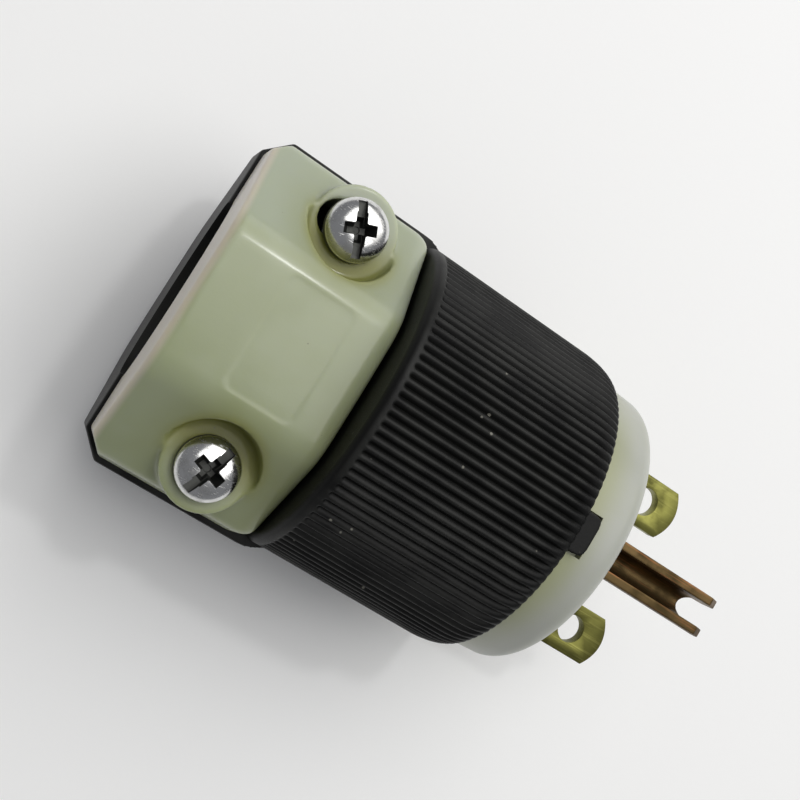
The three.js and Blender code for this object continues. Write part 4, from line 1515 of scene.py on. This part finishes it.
@dataclass
class Interior:
    """Everything that pulls out with the face: face, retainer, contacts, plates."""

    maker: Maker
    blade_y: float = 9.13
    blade_z: float = -4.0
    blade_width: float = 6.35
    blade_thickness: float = 1.52
    pin_width: float = 4.83
    pin_height: float = 4.8
    pin_wall: float = 1.05
    pin_z: float = 7.9
    rim_draft: float = 0.2
    rim_round: Point2 = (2.4, 2.3)
    flange_depth: float = 2.4
    shoulder_half: float = 4.3
    shoulder_length: float = 1.6
    shoulder_slack: float = 0.2
    key_top: float = 18.05
    key_length: float = 1.8
    retainer_plate: float = 2.7
    wall_half: float = 0.8
    level_z: float = 1.5
    blade_hole: tuple[float, float] = (1.75, 4.7)
    key_notch: tuple[float, float, float, float] = (2.5, 1.9, 1.35, 2.0)
    screw_head_height: float = 1.7
    head_bore: float = 2.6
    pilot: tuple[float, float] = (1.2, 3.3)
    retainer_hole: float = 1.3
    notch_setback: float = 2.9

    def __post_init__(self) -> None:
        """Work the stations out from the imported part."""
        self.face_low, self.face_high = span("face_body")
        self.retainer_low, self.retainer_high = span("terminal_retainer")
        self.rim_radius = self.face_high.y
        self.core_x = self.face_low.x
        self.flange_x = self.core_x + self.flange_depth
        self.core_radius = self.retainer_high.y
        self.web_z = self.pin_z - self.pin_height / 2

    def pin_outline(self, grow: float, wall: float = 0.0) -> list[Point2]:
        """The ground pin's outer outline in Y and Z, or its channel's if a wall is given."""
        half = self.pin_width / 2 + grow - wall
        top = self.pin_z + self.pin_height / 2 + grow + (CUT_OVER if wall else 0)
        turn_z = self.web_z + self.pin_width / 2
        return [(half, top), (-half, top), *arc((0, turn_z), half, 180, 360, 16)]

    def face(self) -> None:
        """Make the white face with its slots, holes and key notch."""
        barrel_x = span("housing_shell")[1].x - self.key_length
        rim = self.rim_radius - self.rim_draft
        length, inset = self.rim_round
        outline = [(0, self.core_x), (self.core_radius, self.core_x), (self.core_radius, self.flange_x)]
        outline += [(self.rim_radius, self.flange_x), (self.rim_radius, barrel_x)]
        outline += quarter((rim, -length), (rim - inset, 0), 14) + [(0, 0)]
        body = Solid.spun(outline, ROUND_SIDES)
        tools = []
        for _, side in SIDES:
            y = side * self.blade_y
            thick = self.blade_thickness / 2 + SLIP_GAP
            low, high = self.blade_z - thick, self.blade_z + thick
            seat_x = self.core_x + self.shoulder_length + self.shoulder_slack
            for half, end_x in ((self.blade_width / 2, CUT_OVER), (self.shoulder_half, seat_x)):
                wide = half + SLIP_GAP
                tools.append(Solid.block((self.core_x - CUT_OVER, y - wide, low), (end_x, y + wide, high)))
        for name, _ in SIDES:
            node, under_x = "assembly_screw_" + name, self.core_x - CUT_OVER
            head_x = span(node)[1].x - self.screw_head_height - REST_GAP
            tools.append(Solid.bar(SMALL_HOLE, under_x, CUT_OVER, across(node)))
            tools.append(Solid.bar(self.head_bore, head_x, CUT_OVER, across(node)))
            radius, depth = self.pilot
            tools.append(Solid.bar(radius, under_x, self.core_x + depth, across("retainer_screw_" + name)))
        tools.append(Solid.pushed(self.pin_outline(SLIP_GAP), self.core_x - CUT_OVER, CUT_OVER, Axis.X))
        half, under, over, reach = self.key_notch
        notch_low = (self.flange_x - REST_GAP, -half, self.key_top - under)
        tools.append(Solid.block(notch_low, (barrel_x + reach, half, self.key_top + over)))
        self.maker.piece("face_moulding", body.cut(*tools), "interior", "white_nylon", "face_body")

    def retainer(self) -> None:
        """Make the grey retainer with the walls between its terminals."""
        rear_x, front_x = self.retainer_low.x, self.retainer_high.x
        plate_x = front_x - self.retainer_plate
        reach, half, level_z = self.core_radius, self.wall_half, self.level_z
        wall_x = plate_x + REST_GAP
        plate = Solid.bar(reach, plate_x, front_x, segments=128)
        level = Solid.block((rear_x, -reach - 1, level_z - half), (wall_x, reach + 1, level_z + half))
        upright = Solid.block((rear_x, -half, -reach - 1), (wall_x, half, level_z))
        ring = Solid.bar(reach, rear_x - 0.01, wall_x + 0.01, segments=128)
        walls = level.joined(upright).within(ring)
        tools = []
        over = (plate_x - CUT_OVER, front_x + CUT_OVER)
        thick, wide = self.blade_thickness / 2 + SLIP_GAP, self.blade_width / 2 + SLIP_GAP
        for name, side in SIDES:
            y = side * self.blade_y
            low, high = self.blade_z - thick, self.blade_z + thick
            tools.append(Solid.block((over[0], y - wide, low), (over[1], y + wide, high)))
            for node, radius in (("assembly_screw_", SMALL_HOLE), ("retainer_screw_", self.retainer_hole)):
                tools.append(Solid.bar(radius, *over, across(node + name), segments=32))
        top = self.web_z + self.pin_wall + SLIP_GAP
        tools.append(Solid.block((over[0], -wide, self.web_z - SLIP_GAP), (over[1], wide, top)))
        whole = plate.joined(walls).cut(*tools)
        self.maker.piece("retainer_plate", whole, "interior", "grey_nylon", "terminal_retainer")

    def blades(self) -> None:
        """Make the two flat blades, tail to tip."""
        for name, side in SIDES:
            low, high = span("line_blade_" + name)
            half, broad = self.blade_width / 2, self.shoulder_half
            core_x, end_x = self.core_x, self.core_x + self.shoulder_length
            tip = curve((high.x - 1.2, -half), (high.x + 1.2, 0), (high.x - 1.2, half), 20)
            outline = [(low.x, -half), (core_x, -half), (core_x, -broad), (end_x, -broad), (end_x, -half)]
            outline += [*tip, (end_x, half), (end_x, broad), (core_x, broad), (core_x, half), (low.x, half)]
            thick, over = self.blade_thickness / 2, 2 * CUT_OVER
            strip = Solid.pushed(outline, -thick, thick)
            thread = Solid.bar(SMALL_HOLE, -over, over, (self.terminal_x(), 0), Axis.Z, segments=32)
            radius, setback = self.blade_hole
            hole = Solid.bar(radius, -over, over, (high.x - setback, 0), Axis.Z)
            whole = strip.cut(hole, thread).bevelled(0.14, 2)
            whole.moved(0, side * self.blade_y, self.blade_z)
            self.maker.piece("blade_" + name, whole, "interior", "yellow_brass", "line_blade_" + name)

    def terminal_x(self) -> float:
        """The station of the terminal screws."""
        return centre("terminal_screw_ground").x

    def ground_pin(self) -> None:
        """Make the folded ground pin with its notched tip and flat tail."""
        low, high = span("ground_pin")
        tip, tail = high.x, low.x
        channel_half = self.pin_width / 2 - self.pin_wall
        outer = Solid.pushed(self.pin_outline(0), self.core_x - REST_GAP / 2, tip, Axis.X)
        channel = self.pin_outline(0, self.pin_wall)
        hollow = Solid.pushed(channel, self.core_x - CUT_OVER, tip + CUT_OVER, Axis.X)
        notch_x = tip - self.notch_setback + channel_half
        under_z = self.web_z - CUT_OVER
        notch = [
            Solid.bar(channel_half, under_z, self.pin_z, (notch_x, 0), Axis.Z, segments=40),
            Solid.block((notch_x, -channel_half, under_z), (tip + CUT_OVER, channel_half, self.pin_z)),
        ]
        bevels = []
        for end in (-1, 1):
            z = self.pin_z + end * self.pin_height / 2
            outline = [(tip - 1.4, z), (tip + 0.4, z - end * 1.5), (tip + 0.4, z + end), (tip - 1.4, z + end)]
            bevels.append(Solid.pushed(outline, -self.pin_width, self.pin_width, Axis.Y))
        half = self.blade_width / 2
        strip = Solid.block((tail, -half, self.web_z), (self.core_x, half, self.web_z + self.pin_wall))
        at = (self.terminal_x(), 0)
        thread = Solid.bar(SMALL_HOLE, self.web_z - 1, self.web_z + 3, at, Axis.Z, segments=32)
        whole = outer.cut(hollow).joined(strip).cut(*notch, *bevels, thread).softened(0.13, 3)
        self.maker.piece("pin_folded", whole, "interior", "brown_brass", "ground_pin")

    def plates(self) -> None:
        """Make the wire plates under the terminal screws."""
        for name in ("left", "right", "ground"):
            node = "terminal_plate_" + name
            low, high = span(node)
            middle = (low + high) / 2
            outline = rounded_rectangle(high.x - low.x, high.y - low.y, 0.8, (middle.x, middle.y))
            hole = Solid.bar(SMALL_HOLE, low.z - 1, high.z + 1, (middle.x, middle.y), Axis.Z, segments=32)
            whole = Solid.pushed(outline, low.z, high.z).cut(hole).bevelled(0.12, 2)
            self.maker.piece("wire_plate_" + name, whole, node, "plain_steel", node)

    def build(self) -> None:
        """Make every piece of the interior."""
        self.face()
        self.retainer()
        self.blades()
        self.ground_pin()
        self.plates()


@dataclass
class Captives:
    """The nuts and threaded inserts held in the housing."""

    maker: Maker

    def build(self) -> None:
        """Make the two square nuts and the two inserts."""
        for name, _ in SIDES:
            node = "clamp_nut_" + name
            low, high = span(node)
            middle = (low + high) / 2
            hole = Solid.bar(NUT_HOLE, low.z - 1, high.z + 1, (middle.x, middle.y), Axis.Z, segments=32)
            nut = Solid.block(low, high).cut(hole).bevelled(0.25, 2)
            self.maker.piece("square_nut_" + name, nut, "housing", "plain_steel", node)
            node = "assembly_insert_" + name
            low, high = span(node)
            middle = (low + high) / 2
            outer, inner = (high.y - low.y) / 2, 1.52
            outline = [(inner, low.x), (outer - 0.15, low.x), (outer, low.x + 0.15), (outer, high.x - 0.15)]
            outline += [(outer - 0.15, high.x), (inner + 0.15, high.x), (inner, high.x - 0.15)]
            sleeve = Solid.spun(outline, 48, loop=True).moved(0, middle.y, middle.z)
            self.maker.piece("threaded_insert_" + name, sleeve, "housing", "yellow_brass", node)


# ---------------------------------------------------------------- studio


@dataclass
class Studio:
    """Camera, lights and floor."""

    camera_place: tuple[float, float, float] = (-62.41, -8.30, 126.11)
    right: tuple[float, float, float] = (0.80541, 0.51979, 0.28484)
    down: tuple[float, float, float] = (0.5207, -0.85008, 0.07896)
    lens: float = 52.47
    sensor: float = 36.0
    floor_size: float = 3.0
    floor_drop: float = 0.00005
    sky: Colour = (0.93, 0.95, 1.0, 1)
    sky_strength: float = 0.22

    def camera(self) -> None:
        """Make the camera, above and behind the clamp."""
        data = bpy.data.cameras.new("camera")
        data.lens, data.sensor_width = self.lens, self.sensor
        data.clip_start, data.clip_end = 0.005, 20
        thing = bpy.data.objects.new("camera", data)
        right, up = Vector(self.right).normalized(), -Vector(self.down).normalized()
        back = right.cross(up).normalized()
        matrix = Matrix((right, back.cross(right), back)).transposed().to_4x4()
        matrix.translation = Vector(self.camera_place) * MM
        thing.matrix_world = matrix
        bpy.context.scene.collection.objects.link(thing)
        bpy.context.scene.camera = thing

    def light(
        self, name: str, place: tuple[float, float, float], size: float, watts: float, tint: tuple
    ) -> None:
        """Add a square soft light that faces the plug.

        Args:
            name: the light's name.
            place: where it hangs, in metres.
            size: its side, in metres.
            watts: its power.
            tint: its colour.
        """
        data = bpy.data.lights.new(name, "AREA")
        data.shape, data.size, data.energy, data.color = "SQUARE", size, watts, tint
        thing = bpy.data.objects.new(name, data)
        thing.location = place
        thing.rotation_euler = (Vector((-0.02, 0, 0)) - Vector(place)).to_track_quat("-Z", "Y").to_euler()
        bpy.context.scene.collection.objects.link(thing)

    def build(self) -> None:
        """Light the plug and lay the floor under it."""
        self.light("key", (0.14, 0.36, 0.6), 0.95, 5.9, (1.0, 0.99, 0.97))
        self.light("glint", (0.05, 0.3, 0.6), 0.045, 0.4, (1.0, 1.0, 1.0))
        world = bpy.data.worlds.new("studio")
        bpy.context.scene.world = world
        world.use_nodes = True
        background = world.node_tree.nodes["Background"]
        background.inputs["Color"].default_value = self.sky
        background.inputs["Strength"].default_value = self.sky_strength
        bpy.context.scene.view_settings.view_transform = "Standard"
        half = self.floor_size / 2
        z = CAD_BOX[0][2] - self.floor_drop
        mesh = bpy.data.meshes.new("studio_floor")
        corners = [(-half, -half, z), (half, -half, z), (half, half, z), (-half, half, z)]
        mesh.from_pydata(corners, [], [(0, 1, 2, 3)])
        mesh.materials.append(StudioPaper().material())
        floor = bpy.data.objects.new("studio_floor", mesh)
        bpy.context.scene.collection.objects.link(floor)


def main() -> None:
    """Build the plug and its studio."""
    logging.basicConfig(level=logging.INFO, format="%(name)s: %(message)s", stream=sys.stdout)
    studio = Studio()
    studio.camera()
    maker = Maker(Finishes())
    screw = centre("clamp_screw_left")
    shape = ClampShape(
        half_width=span("housing_shell")[1].y,
        rear_x=span("housing_shell")[0].x,
        barrel_rear_x=span("cord_clamp")[1].x + REST_GAP,
        screw_x=screw.x,
        screw_y=screw.y,
    )
    Housing(maker, shape).build()
    CordClamp(maker, shape).build()
    Screws(maker).build()
    Interior(maker).build()
    Captives(maker).build()
    studio.build()


if __name__ == "__main__":
    main()
